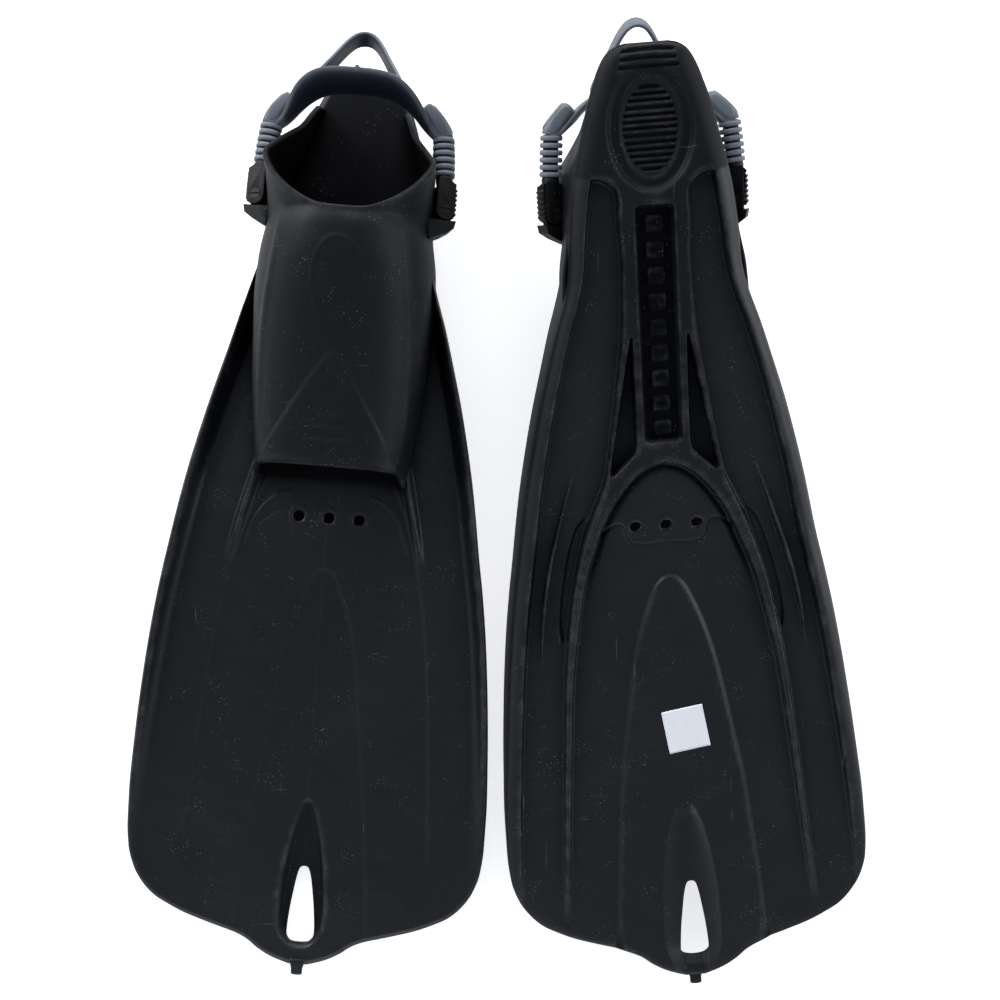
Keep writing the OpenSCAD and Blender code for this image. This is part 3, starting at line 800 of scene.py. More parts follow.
def build_pocket():
    columns, rows = ((177, 130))
    angles = pocket_angles(columns)
    start = opening_edge(angles)
    end = 264.5 - 4.6 * rise(0.05, 0.6, np.sin(angles)) + 2.0 * np.cos(angles) ** 8
    angle, part = np.meshgrid(angles, np.linspace(0, 1, rows) ** 1.12)
    span = (end - start)[None, :]
    along = start[None, :] + part * span
    x, height = [values.reshape(along.shape)
                 for values in pocket_section(along.ravel(), angle.ravel())]
    points = np.stack([x, -along, height], -1)
    normal = pocket_normals(points)
    relief, ridge = pocket_relief(x, along, height)
    thick = curve([(0, 3.4), (100, 3.0), (270, 3.2)], along)
    # Slight bead along the opening and the toe edge
    from_opening = part * span
    bead = (0.35 * np.exp(-(from_opening / 2.2) ** 2)
            + 0.5 * np.exp(-(((1 - part) * span) / 3.0) ** 2))
    outer = points + normal * (relief * rise(0, 0.03, part) + bead)[..., None]
    inner = points - normal * (thick + bead * 0.5)[..., None]
    scuff = np.exp(-(from_opening / 9.0) ** 2) * (0.35 + 0.65 * np.exp(-(x / 26.0) ** 2))

    count = rows * columns
    verts = [outer.reshape(-1, 3), inner.reshape(-1, 3)]
    wear = [np.clip(ridge * 0.5 + bead * 0.8 + scuff * 0.9, 0, 1).ravel(), (bead * 0.6).ravel()]
    # Outside: a duller finish; inside: darkened near black as painted shade within the pocket
    matte = [np.full(count, 0.52), np.full(count, 0.95)]
    faces = grid_faces(rows, columns) + grid_faces(rows, columns, count, flip=True)
    # Rounded lips at the opening (first row) and the toe edge (last row)
    steps = 5
    first = 2 * count
    lips = []
    for row, neighbour in ((0, 1), (rows - 1, rows - 2)):
        tangent = outer[row] - outer[neighbour]
        tangent = tangent / np.maximum(np.linalg.norm(tangent, axis=1, keepdims=True), 1e-9)
        half = (outer[row] - inner[row]) / 2
        radius = np.linalg.norm(half, axis=1, keepdims=True)
        rings = [np.arange(columns) + row * columns]
        for i in range(1, steps):
            turn = math.pi * i / steps
            verts.append((outer[row] + inner[row]) / 2 + half * math.cos(turn)
                         + tangent * radius * 0.8 * math.sin(turn))
            wear.append(np.full(columns, 0.75 if i < 3 else 0.4))
            matte.append(np.full(columns, 0.55 + 0.08 * i))
            rings.append(np.arange(columns) + first)
            first += columns
        rings.append(np.arange(columns) + count + row * columns)
        for ring, after in zip(rings[:-1], rings[1:]):
            quads = strip_faces(ring, after, wrap=False)
            faces += quads if row else [quad[::-1] for quad in quads]
        lips.append(rings)
    # Close the two long base edges and the ends of the lips
    for column in (0, columns - 1):
        for i in range(rows - 1):
            low, high = i * columns + column, (i + 1) * columns + column
            quad = (low, high, high + count, low + count)
            faces.append(quad if column == 0 else quad[::-1])
        for rings in lips:
            fan = [int(ring[column]) for ring in rings]
            faces += [(fan[0], fan[i], fan[i + 1]) for i in range(1, len(fan) - 1)]
    ob = make("pocket_shell", np.vstack(verts), faces)
    set_value(ob, "wear", np.concatenate(wear))
    set_value(ob, "matte", np.concatenate(matte))
    return face_outwards(ob)


# ------------------------------------------------------------------ heel strap
def build_sleeve():
    """Ribbed cover of the bungee, +x side, from its mouth towards the heel."""
    ribs = 6
    pitch = ((SLEEVE_MOUTH - SLEEVE_END) / math.cos(SLEEVE_LEAN) + 0.4) / ribs
    # One rib: (share of the pitch, share of the radius)
    profile = [(0.0, 0.72), (0.09, 0.73), (0.12, 0.90), (0.19, 0.975), (0.46, 1.012),
               (0.70, 0.985), (0.79, 0.93), (0.83, 0.76), (0.92, 0.72)]
    cos, sin = math.cos(SLEEVE_LEAN), math.sin(SLEEVE_LEAN)
    outward = np.array([cos, sin, 0])
    rings, dirt = [], []
    for i in range(ribs):
        rib_radius = 7.15 - 0.1 * abs(i - 2.5)
        for place, share in profile:
            # Painted shade: dark in the grooves between ribs, half dark on their flanks
            dirt.append(1.0 if share < 0.80 else (0.35 if share < 0.92 else 0.0))
            travel = 0.1 + (i + place) * pitch
            centre = np.array([BOLT_X - 0.4 - sin * travel, -SLEEVE_MOUTH + cos * travel, STRAP_Z])
            radius = rib_radius * share
            ring = ring_at(centre, outward, UP, radius, radius, 2.5, 40)
            # Grooves bite deeper on the inner side
            if share < 0.9:
                aside = (ring - centre) @ outward
                bite = np.where(aside < 0, 0.9, 0.0) * (np.abs(aside) / rib_radius)
                ring = ring + np.outer(bite, outward)
            rings.append(ring)
    return loft("sleeve", rings, dirt=dirt)


# Heel band from the arm to its middle:
# inner face in plan (half width, along), upper edge, lower edge, half thickness
BAND = [
    (50.9, 48.6, 49.0, 37.6, 1.9), (48.6, 46.6, 50.3, 37.2, 2.0), (46.0, 44.6, 52.8, 37.1, 2.0),
    (43.3, 42.3, 57.5, 37.4, 2.0), (40.6, 39.7, 64.0, 38.0, 1.95), (37.8, 36.9, 71.0, 39.0, 1.9),
    (34.6, 34.0, 77.0, 40.4, 1.85), (31.0, 31.2, 81.2, 41.8, 1.8), (26.8, 28.6, 83.8, 43.2, 1.8),
    (21.6, 26.3, 85.0, 44.4, 1.8), (15.4, 25.0, 85.4, 45.3, 1.8), (8.0, 24.4, 85.6, 45.8, 1.8),
    (0.0, 24.3, 85.6, 46.0, 1.8)]
# Arm from the sleeve: centre (half width, along, height), half thickness in plan, half height
ARM = [
    (54.9, 46.3, 43.0, 6.0, 6.3), (54.4, 44.8, 43.3, 6.0, 6.5), (53.4, 42.8, 43.9, 5.8, 7.0),
    (51.8, 40.4, 44.8, 5.4, 7.7), (49.8, 37.9, 45.8, 5.1, 8.2), (47.5, 35.4, 46.7, 4.9, 8.5),
    (45.2, 33.0, 47.5, 4.8, 8.6), (43.8, 31.6, 47.9, 4.6, 8.5), (42.9, 30.7, 48.2, 4.2, 8.2),
    (42.3, 30.1, 48.4, 3.4, 7.4), (42.0, 29.8, 48.5, 2.0, 5.6)]
# Finger loop, one half from its root to its middle: (half width, along, height)
LOOP = [
    (25.3, 22.4, 62.4), (24.3, 18.5, 60.3), (22.3, 14.2, 58.0), (18.0, 6.6, 54.0),
    (13.0, -2.9, 48.9), (9.4, -8.9, 45.7), (5.9, -12.9, 43.6), (2.6, -14.7, 42.6),
    (0.0, -15.1, 42.4)]


def plan_normals(x, along, axis):
    """Unit normals of a path in plan, turned to point along +axis (0 is x, 1 is y)."""
    normals = []
    for tangent in np.gradient(np.stack([x, -along], -1), axis=0):
        tangent = tangent / np.linalg.norm(tangent)
        normal = np.array([tangent[1], -tangent[0], 0])
        normals.append(-normal if normal[axis] < 0 else normal)
    return normals


def build_band():
    columns = resample(BAND, len(BAND) * (9))
    x, along, top, bottom, half_thick = [
        np.concatenate([values, (-values if i == 0 else values)[:-1][::-1]])
        for i, values in enumerate(columns)]
    vertical, through = superellipse(64, 3.4)
    edge = np.abs(vertical)
    rings, pad = [], []
    for i, outward in enumerate(plan_normals(x, along, axis=1)):
        middle, half = (top[i] + bottom[i]) / 2, (top[i] - bottom[i]) / 2
        full = float(rise(7, 16, half))
        centre = np.array([x[i], -along[i], middle]) + outward * half_thick[i]
        # Rolled edges, and a softly cushioned inner face
        thick = (half_thick[i] * (1 + 0.30 * full * edge ** 10) * through
                 - 1.1 * full * (1 - vertical ** 2) * (through < 0) * np.abs(through))
        rings.append(centre + np.outer(vertical * half, UP)
                     + np.outer(thick + 0.5 * full * edge ** 6, outward))
        # Share of a darker, bluer tone: most on the inner face, 0.42 over the rest of the tall band
        inner = np.clip(-through, 0, 1) * rise(0.0, 0.5, -through) * fall(0.90, 0.97, edge)
        pad.append(np.maximum(inner, 0.42) * float(rise(6.5, 9.5, half)))
    return loft("band", rings, pad=pad)


def build_arm(sign):
    """Arm on the side given by sign, with oval pads on its outer, upper and lower faces."""
    count = 64
    x, along, height, half_thick, half_tall = resample(ARM, count)
    centres = np.stack([x, -along, height], -1)
    outward = plan_normals(x, along, axis=0)
    arm, thumb, plates = [], [], {1: [], -1: []}
    for i in range(count):
        arm.append(ring_at(centres[i], UP, outward[i], half_tall[i], half_thick[i], 3.6, 40))
    for part in np.linspace(0.015, 0.985, 22):
        i = int(np.interp(part, [0, 1], [count * 0.10, count * 0.80]))
        swell = math.sin(math.pi * part)
        oval = swell ** 0.5
        thumb.append(ring_at(
            centres[i] + outward[i] * (half_thick[i] - 0.5), UP, outward[i],
            (half_tall[i] - 1.6) * oval + 0.1, 1.35 * min(1, 3 * oval), 2.6, 28))
        oval = swell ** 0.42
        for face, rings in plates.items():
            rings.append(ring_at(
                centres[i] + UP * face * (half_tall[i] - 0.55) + outward[i] * 0.6, outward[i], UP,
                (half_thick[i] - 1.5) * oval + 0.1, 1.2 * min(1, 3 * oval), 3.0, 28))
    return [loft("arm_part", np.array(rings) * (sign, 1, 1))
            for rings in (arm, thumb, plates[1], plates[-1])]


def build_finger_loop():
    """Flat band that leaves the heel band and slopes down beyond it."""
    half = np.array(LOOP)
    path = smooth_path(np.vstack([half, (half[:-1] * (-1, 1, 1))[::-1]])) * (1, -1, 1)
    tangents = np.gradient(path, axis=0)
    tangents /= np.linalg.norm(tangents, axis=1, keepdims=True)
    slope = math.radians(28)
    across_band = np.array([0, math.sin(slope), math.cos(slope)])
    size = 28
    rings = []
    for i, (centre, tangent) in enumerate(zip(path, tangents)):
        part = i / (len(path) - 1)
        normal = np.cross(across_band, tangent)
        normal /= np.linalg.norm(normal)
        if normal[0] * centre[0] + normal[1] * 0.5 < 0:
            normal = -normal
        wide = np.cross(tangent, normal)
        if wide[2] < 0:
            wide = -wide
        root = max(0, 1 - min(part, 1 - part) / 0.09)
        rings.append(ring_at(centre, wide, normal, 5.5 + 1.0 * root, 1.55 + 0.8 * root, 3.2, size))
    # A darker, bluer tone on the loop's inner face
    pad = 0.75 * rise(0.1, 0.6, -np.sin(full_turn(size)))
    return loft("loop", rings, pad=np.tile(pad, (len(path), 1)))


def build_band_nub():
    """Small dome on the band's upper edge."""
    rings = []
    for part in np.linspace(0, 1, 9):
        radius = 1.7 * math.sqrt(max(1 - (part * 0.98) ** 2, 0.0)) + 0.02
        centre = np.array([1.0, -21.9 + 0.8 * part, 84.8 + 2.6 * part])
        rings.append(ring_at(centre, ACROSS, BACK, radius, radius, 2, 16))
    return loft("nub", rings)


def build_strap():
    parts = [build_band(), *build_arm(1), *build_arm(-1), build_finger_loop(), build_band_nub()]
    return join("strap", parts)


# ------------------------------------------------------------------ clips and cord boots
def prism(name, outline, low, high):
    verts = [(x, y, z) for z in (low, high) for x, y in outline]
    return make(name, verts, prism_faces(len(outline)), smooth=False)


def build_clip():
    """Fork clip of the +x side, drawn round its pivot (axis z, strap side +y), then placed."""
    half_height, bolt_sides = 8.3, 36
    nose = [(6.3 * math.cos(angle), 6.3 * math.sin(angle) - 0.2)
            for angle in np.linspace(math.radians(200), math.radians(340), 22)]
    body = [(5.7, 19.4), (5.2, 20.0), (-5.2, 20.0), (-5.7, 19.4), (-6.0, 2)] + nose + [(6.0, 2)]
    ob = prism("clip_body", body, -half_height, half_height)
    # Serrated outer web
    web = [(4, -4), (6.4, -4.2)]
    for i in range(7):
        y = -3.2 + i * 3.1
        web += [(6.7, y), (7.6, y + 0.7), (7.6, y + 1.7), (6.7, y + 2.4)]
    web += [(6.2, 18.8), (4, 18.8)]
    boolean(ob, prism("web", web, -5.6, 5.6), "UNION")
    slot = [(-9, 5.6), (1.2, 5.6), (5.3, -1.4), (5.3, -9), (-9, -9)]
    boolean(ob, prism("slot", slot, -4.1, 4.1))
    # Concave seat for the end of the sleeve: a cylinder that undoes the clip's tilt
    cos, sin = math.cos(CLIP_TILT), math.sin(CLIP_TILT)
    radius, sides = 7.5, 40
    seat = [(x * cos - radius * math.sin(angle) * sin, 20.8 + radius * math.cos(angle),
             x * sin + radius * math.sin(angle) * cos)
            for x in (-12, 12) for angle in full_turn(sides)]
    boolean(ob, face_outwards(make("seat", seat, prism_faces(sides), smooth=False)))
    # Screw seats on both faces, then the bore
    for radius, low, high in ((3.75, 6.6, 10), (3.75, -10, -6.6), (2.66, -12, 12)):
        boolean(ob, prism("bore", circle(radius, bolt_sides), low, high))
    bevel = ob.modifiers.new("bevel", "BEVEL")
    bevel.width = 0.55
    bevel.segments = 3
    bevel.limit_method = "ANGLE"
    bevel.angle_limit = math.radians(32)
    bevel.use_clamp_overlap = True
    apply_modifiers(ob)
    ob.data.polygons.foreach_set("use_smooth", [True] * len(ob.data.polygons))
    ob.data.set_sharp_from_angle(angle=math.radians(35))
    ob.data.transform(Matrix.Translation((BOLT_X, -BOLT_ALONG, STRAP_Z))
                      @ Matrix.Rotation(CLIP_TILT, 4, "Y"))
    return ob


def build_boot():
    """Soft boot round the end of the cord, between sleeve and clip, +x side."""
    # (y, radius)
    stations = ((-69.0, 5.0), (-70.5, 5.7), (-71.9, 6.25), (-73.4, 6.35), (-74.9, 6.1),
                (-76.4, 5.5), (-77.6, 4.6), (-78.5, 3.2), (-79.0, 1.8))
    return loft("boot", [
        ring_at(np.array([BOLT_X - 0.2, y, STRAP_Z]), ACROSS, UP, radius * 0.86, radius, 2.4, 32)
        for y, radius in stations])


def build_label():
    """A blank paper label, turned a little, on the sole side of the blade."""
    size, half_width, half_length, turn = 22, 13.5, 14, math.radians(8)
    wide, tall = [grid.ravel() for grid in np.meshgrid(
        np.linspace(-half_width, half_width, size), np.linspace(-half_length, half_length, size))]
    x = -4 + wide * math.cos(turn) - tall * math.sin(turn)
    along = 424 + wide * math.sin(turn) + tall * math.cos(turn)
    curl = 0.5 * (np.abs(wide / half_width) ** 6 * np.abs(tall / half_length) ** 6)
    sheet = skins(x, along)[0] - curl
    verts = np.vstack([bend(x, along, sheet - gap) for gap in (0.28, 0.10)])
    count = size * size
    loop = grid_loop(size, size)
    faces = grid_faces(size, size) + grid_faces(size, size, count, flip=True)
    faces += strip_faces(loop, loop + count, flip=True)
    return face_outwards(make("label", verts, faces))


# ------------------------------------------------------------------ material helpers
def fill_ramp(ramp, stops):
    """Set a colour ramp from (position, (r, g, b)) stops."""
    elements = ramp.color_ramp.elements
    while len(elements) > 1:
        elements.remove(elements[-1])
    for i, (position, color) in enumerate(stops):
        element = elements.new(position) if i else elements[0]
        element.position = position
        element.color = (*color, 1)


class Net:
    """A node tree; node inputs take numbers, colours or sockets to link."""

    def __init__(self, tree):
        self.tree = tree
        self.place = self.node("ShaderNodeTexCoord").outputs["Object"]

    def node(self, kind, inputs=None, **settings):
        node = self.tree.nodes.new(kind)
        for key, value in settings.items():
            setattr(node, key, value)
        self.feed(node, inputs or {})
        return node

    def feed(self, node, inputs):
        for key, value in inputs.items():
            socket = node.inputs[key]
            if isinstance(value, bpy.types.NodeSocket):
                self.tree.links.new(value, socket)
            elif socket.type == "RGBA":
                socket.default_value = (*value, 1)
            else:
                socket.default_value = value

    def mapping(self, scale=(1, 1, 1), turn=(0, 0, 0), shift=(0, 0, 0)):
        return self.node("ShaderNodeMapping", {
            "Scale": scale, "Rotation": turn, "Location": shift, "Vector": self.place}).outputs[0]

    def noise(self, scale, detail, rough, place=None, distortion=0.0):
        return self.node("ShaderNodeTexNoise", {
            "Scale": scale, "Detail": detail, "Roughness": rough, "Distortion": distortion,
            "Vector": place or self.place}).outputs["Fac"]

    def cells(self, scale, place):
        node = self.node("ShaderNodeTexVoronoi", {"Scale": scale, "Vector": place})
        return node.outputs["Distance"]

    def ramp(self, value, *stops):
        """Grey ramp through (position, level) stops."""
        node = self.node("ShaderNodeValToRGB", {0: value})
        fill_ramp(node, [(position, (level,) * 3) for position, level in stops])
        return node.outputs[0]

    def above(self, value, start, full, level=1.0):
        """0 up to start, climbing to level at full."""
        return self.ramp(value, (0.0, 0.0), (start, 0.0), (full, level))

    def math(self, operation, first, second, clamp=False):
        return self.node("ShaderNodeMath", {0: first, 1: second}, operation=operation,
                         use_clamp=clamp).outputs[0]

    def times(self, first, second):
        return self.math("MULTIPLY", first, second)

    def plus(self, first, second, clamp=False):
        return self.math("ADD", first, second, clamp)

    def mix(self, factor, first, second):
        return self.node("ShaderNodeMix", {"Factor": factor, 6: first, 7: second},
                         data_type="RGBA").outputs[2]

    def span(self, value, low, high):
        return self.node("ShaderNodeMapRange", {
            "To Min": low, "To Max": high, "Value": value}).outputs[0]

    def attribute(self, name):
        return self.node("ShaderNodeAttribute", attribute_name=name).outputs["Fac"]

    def bump(self, height, strength, distance):
        return self.node("ShaderNodeBump", {
            "Strength": strength, "Distance": distance, "Height": height}).outputs[0]


def new_material(name):
    material = bpy.data.materials.new(name)
    material.use_nodes = True
    tree = material.node_tree
    tree.nodes.clear()
    output = tree.nodes.new("ShaderNodeOutputMaterial")
    shader = tree.nodes.new("ShaderNodeBsdfPrincipled")
    tree.links.new(shader.outputs[0], output.inputs[0])
    return material, Net(tree), shader


def scaled(color, factor):
    return tuple(part * factor for part in color)


DUST = (0.50, 0.51, 0.53)


# ------------------------------------------------------------------ materials
def rubber(name, base, dust=1.0, rough=(0.30, 0.46), specular=0.40, seed=0.0):
    """Moulded black rubber with fine grain, chalky scuffs, scratches and worn convex edges, and painted
    shade in hollows and where the matte value darkens it.
    """
    material, net, shader = new_material(name)
    shift = (seed, seed * 1.7, seed * 0.6)
    place = net.mapping(shift=shift)
    clouds = net.noise(scale=13, detail=3, rough=0.6, place=place)
    mottle = net.noise(scale=75, detail=4, rough=0.62, place=place)
    grain = net.noise(scale=1500, detail=3, rough=0.65, place=place)
    # Long faint scratches: stretched noise at two angles, cut thin, only in patches
    stretch_y = net.mapping(scale=(800, 30, 60), turn=(0, 0, 0.35), shift=shift)
    stretch_x = net.mapping(scale=(30, 700, 60), turn=(0, 0, 0.22), shift=shift)
    lines = net.math(
        "MAXIMUM",
        net.above(net.noise(scale=1, detail=1, rough=0.5, place=stretch_y), 0.74, 0.78),
        net.above(net.noise(scale=1, detail=1, rough=0.5, place=stretch_x), 0.76, 0.80, 0.8))
    patches = net.above(net.noise(scale=20, detail=2, rough=0.6, place=place), 0.54, 0.64)
    scratches = net.times(lines, patches)
    # Specks of pale dust, in patches
    specks = net.times(
        net.ramp(net.cells(520, place), (0.0, 1.0), (0.12, 0.8), (0.20, 0.0)),
        net.above(net.noise(scale=48, detail=3, rough=0.7, place=place), 0.54, 0.66))
    # Chalky rub on convex edges, and a thin haze
    chalk = net.ramp(grain, (0.0, 0.0), (0.44, 0.1), (0.62, 1.0))
    worn = net.times(net.above(net.attribute("wear"), 0.18, 0.9),
                     net.ramp(mottle, (0.0, 0.0), (0.42, 0.05), (0.66, 1.0)))
    rub = net.times(worn, chalk)
    haze_noise = net.noise(scale=8, detail=4, rough=0.7, place=place, distortion=0.8)
    haze = net.times(net.above(haze_noise, 0.46, 0.78), chalk)
    total = net.plus(
        net.plus(net.times(scratches, 0.14 * dust), net.times(specks, 0.34 * dust)),
        net.plus(net.times(rub, 0.115 * dust), net.times(haze, 0.020 * dust)), clamp=True)
    # Painted shade: hollows are darkened in colour and reflection by ambient occlusion; "crease" darkens a
    # mesh that has it, and reads 0 on one that has not
    hollow = net.node("ShaderNodeAmbientOcclusion", {"Distance": 0.014}, samples=6)
    open_part = net.times(
        net.ramp(hollow.outputs["AO"], (0.0, 0.10), (0.55, 0.42), (0.80, 0.88), (1.0, 1.0)),
        net.ramp(net.attribute("crease"), (0.0, 1.0), (0.06, 1.0), (0.45, 0.30), (1.0, 0.12)))
    # Finish and painted shade: a high matte value roughens the surface, and darkens its colour and
    # reflection as painted shade on the footbed, in the channel and inside the pocket
    matte = net.attribute("matte")
    lit = net.ramp(matte, (0.0, 1.0), (0.5, 0.86), (0.75, 0.6), (0.9, 0.33), (1.0, 0.14))
    color = net.mix(clouds, scaled(base, 0.80), scaled(base, 1.18))
    color = net.mix(net.times(mottle, 0.35), color, scaled(base, 1.35))
    # Painted shade: colour falls towards a fifth of the base in hollows and where the matte value is high
    color = net.mix(net.times(open_part, lit), scaled(base, 0.18), color)
    texture_rough = net.span(net.plus(net.times(mottle, 0.6), net.times(clouds, 0.4)), *rough)
    gloss = net.ramp(matte, (0.0, 1.0), (0.5, 0.60), (0.75, 0.36), (1.0, 0.14))
    height = net.plus(net.plus(net.times(grain, 0.00022), net.times(mottle, 0.0006)),
                      net.times(lines, -0.00008))
    net.feed(shader, {
        "Base Color": net.mix(total, color, DUST),
        "Roughness": net.plus(net.plus(texture_rough, net.times(matte, 0.22)),
                              net.times(total, 0.5), clamp=True),
        "Specular IOR Level": net.times(net.times(open_part, gloss), specular),
        "Normal": net.bump(height, strength=0.45, distance=1.0)})
    return material


def elastomer(name, base, seed=0.0):
    """Soft, cloudy strap material, with painted shade in the sleeve grooves, painted shade and highlight by
    pointiness, and a darker, bluer tone on the inner faces of band and loop.
    """
    material, net, shader = new_material(name)
    place = net.mapping(shift=(seed, seed, seed))
    clouds = net.noise(scale=40, detail=3, rough=0.6, place=place)
    grain = net.noise(scale=1500, detail=3, rough=0.6, place=place)
    geometry = net.node("ShaderNodeNewGeometry")
    # Painted shade and highlight: darker in hollows, lighter on sharp convex edges, by pointiness
    edges = net.ramp(geometry.outputs["Pointiness"],
                     (0.0, 0.0), (0.46, 0.1), (0.50, 0.5), (0.55, 1.0))
    color = net.mix(clouds, scaled(base, 0.90), scaled(base, 1.10))
    color = net.mix(edges, net.mix(0.45, color, scaled(base, 0.5)),
                    net.mix(0.30, color, scaled(base, 1.5)))
    dust = net.times(
        net.ramp(net.cells(800, place), (0.0, 1.0), (0.10, 0.6), (0.17, 0.0)),
        net.above(net.noise(scale=80, detail=3, rough=0.6, place=place), 0.56, 0.7))
    # Darker, bluer tone where the pad value is set: the inner faces of band and loop
    darker_inner_tone = (base[0] * 0.085, base[1] * 0.10, base[2] * 0.125)
    color = net.mix(net.attribute("pad"), color, darker_inner_tone)
    # Painted shade in the sleeve grooves
    color = net.mix(net.attribute("dirt"), color, scaled(base, 0.12))
    height = net.plus(net.times(grain, 0.0002), net.times(clouds, 0.0006))
    net.feed(shader, {
        "Base Color": net.mix(net.times(dust, 0.25), color, DUST),
        "Roughness": net.span(clouds, 0.42, 0.60),
        "Specular IOR Level": 0.40,
        "Normal": net.bump(height, strength=0.4, distance=1.0)})
    return material


def paper(name):
    material, net, shader = new_material(name)
    fibres = net.noise(scale=1500, detail=4, rough=0.65)
    stains = net.above(net.noise(scale=120, detail=3, rough=0.6), 0.55, 0.8, 0.6)
    net.feed(shader, {
        "Base Color": net.mix(stains, (0.93, 0.94, 0.97), (0.80, 0.81, 0.84)),
        "Roughness": 0.62,
        "Normal": net.bump(fibres, strength=0.25, distance=0.00012)})
    return material


def metal(name, base):
    material, net, shader = new_material(name)
    mottle = net.noise(scale=500, detail=4, rough=0.6)
    rubbed = net.ramp(mottle, (0.0, 0.0), (0.5, 0.1), (0.8, 1.0))
    grain = net.noise(scale=1800, detail=3, rough=0.6)
    net.feed(shader, {
        "Base Color": net.mix(rubbed, base, scaled(base, 3)),
        "Metallic": 0.25,
        "Specular IOR Level": 0.3,
        "Roughness": net.span(mottle, 0.3, 0.55),
        "Normal": net.bump(grain, strength=0.15, distance=0.0002)})
    return material


FIN_BLACK = (0.0054, 0.0062, 0.0082)
FIN_RUBBER = {"left": rubber("fin_rubber_a", FIN_BLACK),
              "right": rubber("fin_rubber_b", FIN_BLACK, seed=3.3)}
CLIP_PLASTIC = rubber("clip_plastic", (0.0046, 0.0046, 0.0054), dust=0.6, rough=(0.40, 0.55),
                      specular=0.22, seed=7.7)
STRAP_GREY = elastomer("strap_grey", (0.155, 0.173, 0.198))
SLEEVE_GREY = elastomer("sleeve_grey", (0.190, 0.210, 0.240), seed=1.0)
CORD_DARK = elastomer("cord_dark", (0.012, 0.013, 0.015), seed=2.0)
SCREW_BLACK = metal("screw_black", (0.006, 0.006, 0.0065))
POST_RUBBER = {
    side: rubber("post_rubber_" + side, (0.0046, 0.0051, 0.0066), rough=(0.42, 0.58),
                 specular=0.22, seed=seed)
    for side, seed in (("left", 1.1), ("right", 5.2))}
LABEL_PAPER = paper("label_paper")


def paint(ob, material):
    ob.data.materials.clear()
    ob.data.materials.append(material)


# ------------------------------------------------------------------ assembly
def place(shape, name, side, material, mirror=False):
    """Copy a fin-frame shape into the scene, on its own or the opposite side of the fin."""
    ob = bpy.data.objects.new(name, shape.data.copy())
    bpy.context.scene.collection.objects.link(ob)
    if mirror:
        ob.data.transform(Matrix.Scale(-1, 4, (1, 0, 0)))
        ob.data.flip_normals()
    ob.data.transform(FINS[side])
    ob.data.update()
    paint(ob, material)
    return ob


def register(ob, slot, *replaced):
    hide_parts(*replaced)


body = build_body()
pocket = build_pocket()
sleeve = build_sleeve()
strap = build_strap()
clip = build_clip()
boot = build_boot()
label = build_label()

for side, matrix in FINS.items():
    fin = side + "_fin"
    ob = place(body, fin + "_moulding", side, FIN_RUBBER[side])
    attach(ob, fin)
    register(ob, "fin_rubber", fin + "_blade", fin + "_sole_frame")
    ob = place(pocket, fin + "_pocket_shell", side, FIN_RUBBER[side])
    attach(ob, fin)
    register(ob, "fin_rubber", fin + "_foot_pocket")
    for end, mirror in (("_r", False), ("_l", True)):
        ob = place(sleeve, fin + "_ribbed_sleeve" + end, side, SLEEVE_GREY, mirror)
        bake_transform(ob, side + "_sleeves", side + "_strap",
                 start=matrix @ Vector((0, -SLEEVE_MOUTH + 1.0, STRAP_Z)),
                 end=matrix @ Vector((0, -SLEEVE_END - 0.2, STRAP_Z)))
        register(ob, "strap_grey", fin + "_sleeve" + end)
        ob = place(clip, fin + "_fork_clip" + end, side, CLIP_PLASTIC, mirror)
        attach(ob, side + "_clip" + end)
        register(ob, "clip_plastic", fin + "_clip" + end)
        ob = place(boot, fin + "_cord_boot" + end, side, CORD_DARK, mirror)
        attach(ob, side + "_cord_ends")
        register(ob, "bungee_core", fin + "_cord_stop" + end)
    ob = place(strap, fin + "_elastic_heel_strap", side, STRAP_GREY)
    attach(ob, side + "_strap")
    register(ob, "strap_grey", fin + "_heel_strap")
ob = place(label, "right_fin_blank_label", "right", LABEL_PAPER)
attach(ob, "right_fin")
register(ob, "label_paper", "right_fin_label")
for shape in (body, pocket, sleeve, strap, clip, boot, label):
    bpy.data.objects.remove(shape)


def kept_material(name):
    """Finish of a CAD piece that stays, chosen by its name."""
    if "screw" in name or "barrel" in name:
        return SCREW_BLACK
    if "cord_stop" in name or "bungee" in name:
        return CORD_DARK
    if "strap_post" in name:
        return POST_RUBBER["left" if name.startswith("left") else "right"]
    return CLIP_PLASTIC


def soften(ob, width):
    """Weld and bevel a CAD piece; width in metres."""
    weld = ob.modifiers.new("weld", "WELD")
    weld.merge_threshold = 0.00002
    bevel = ob.modifiers.new("bevel", "BEVEL")
    bevel.width = width
    bevel.segments = 2
    bevel.limit_method = "ANGLE"
    bevel.angle_limit = math.radians(35)
    bevel.use_clamp_overlap = True


# The first word found in a piece's name sets its bevel width
BEVELS = {"clip": 0.0006, "post": 0.001, "screw": 0.00025, "barrel": 0.00025}
for name, ob in frame["nodes"].items():
    if ob.hide_render:
        continue
    paint(ob, kept_material(name))
    widths = [width for word, width in BEVELS.items() if word in name]
    if widths:
        soften(ob, widths[0])

# ------------------------------------------------------------------ stage (m)
CENTRE_X, CENTRE_Y = [(CAD_BOX[0][i] + CAD_BOX[1][i]) / 2 for i in range(2)]
CAMERA_HEIGHT = 0.88
VIEW_WIDTH = 0.67               # width the camera sees at z = 0
FLOOR_HALF, FLOOR_Z = 4.0, -0.0028


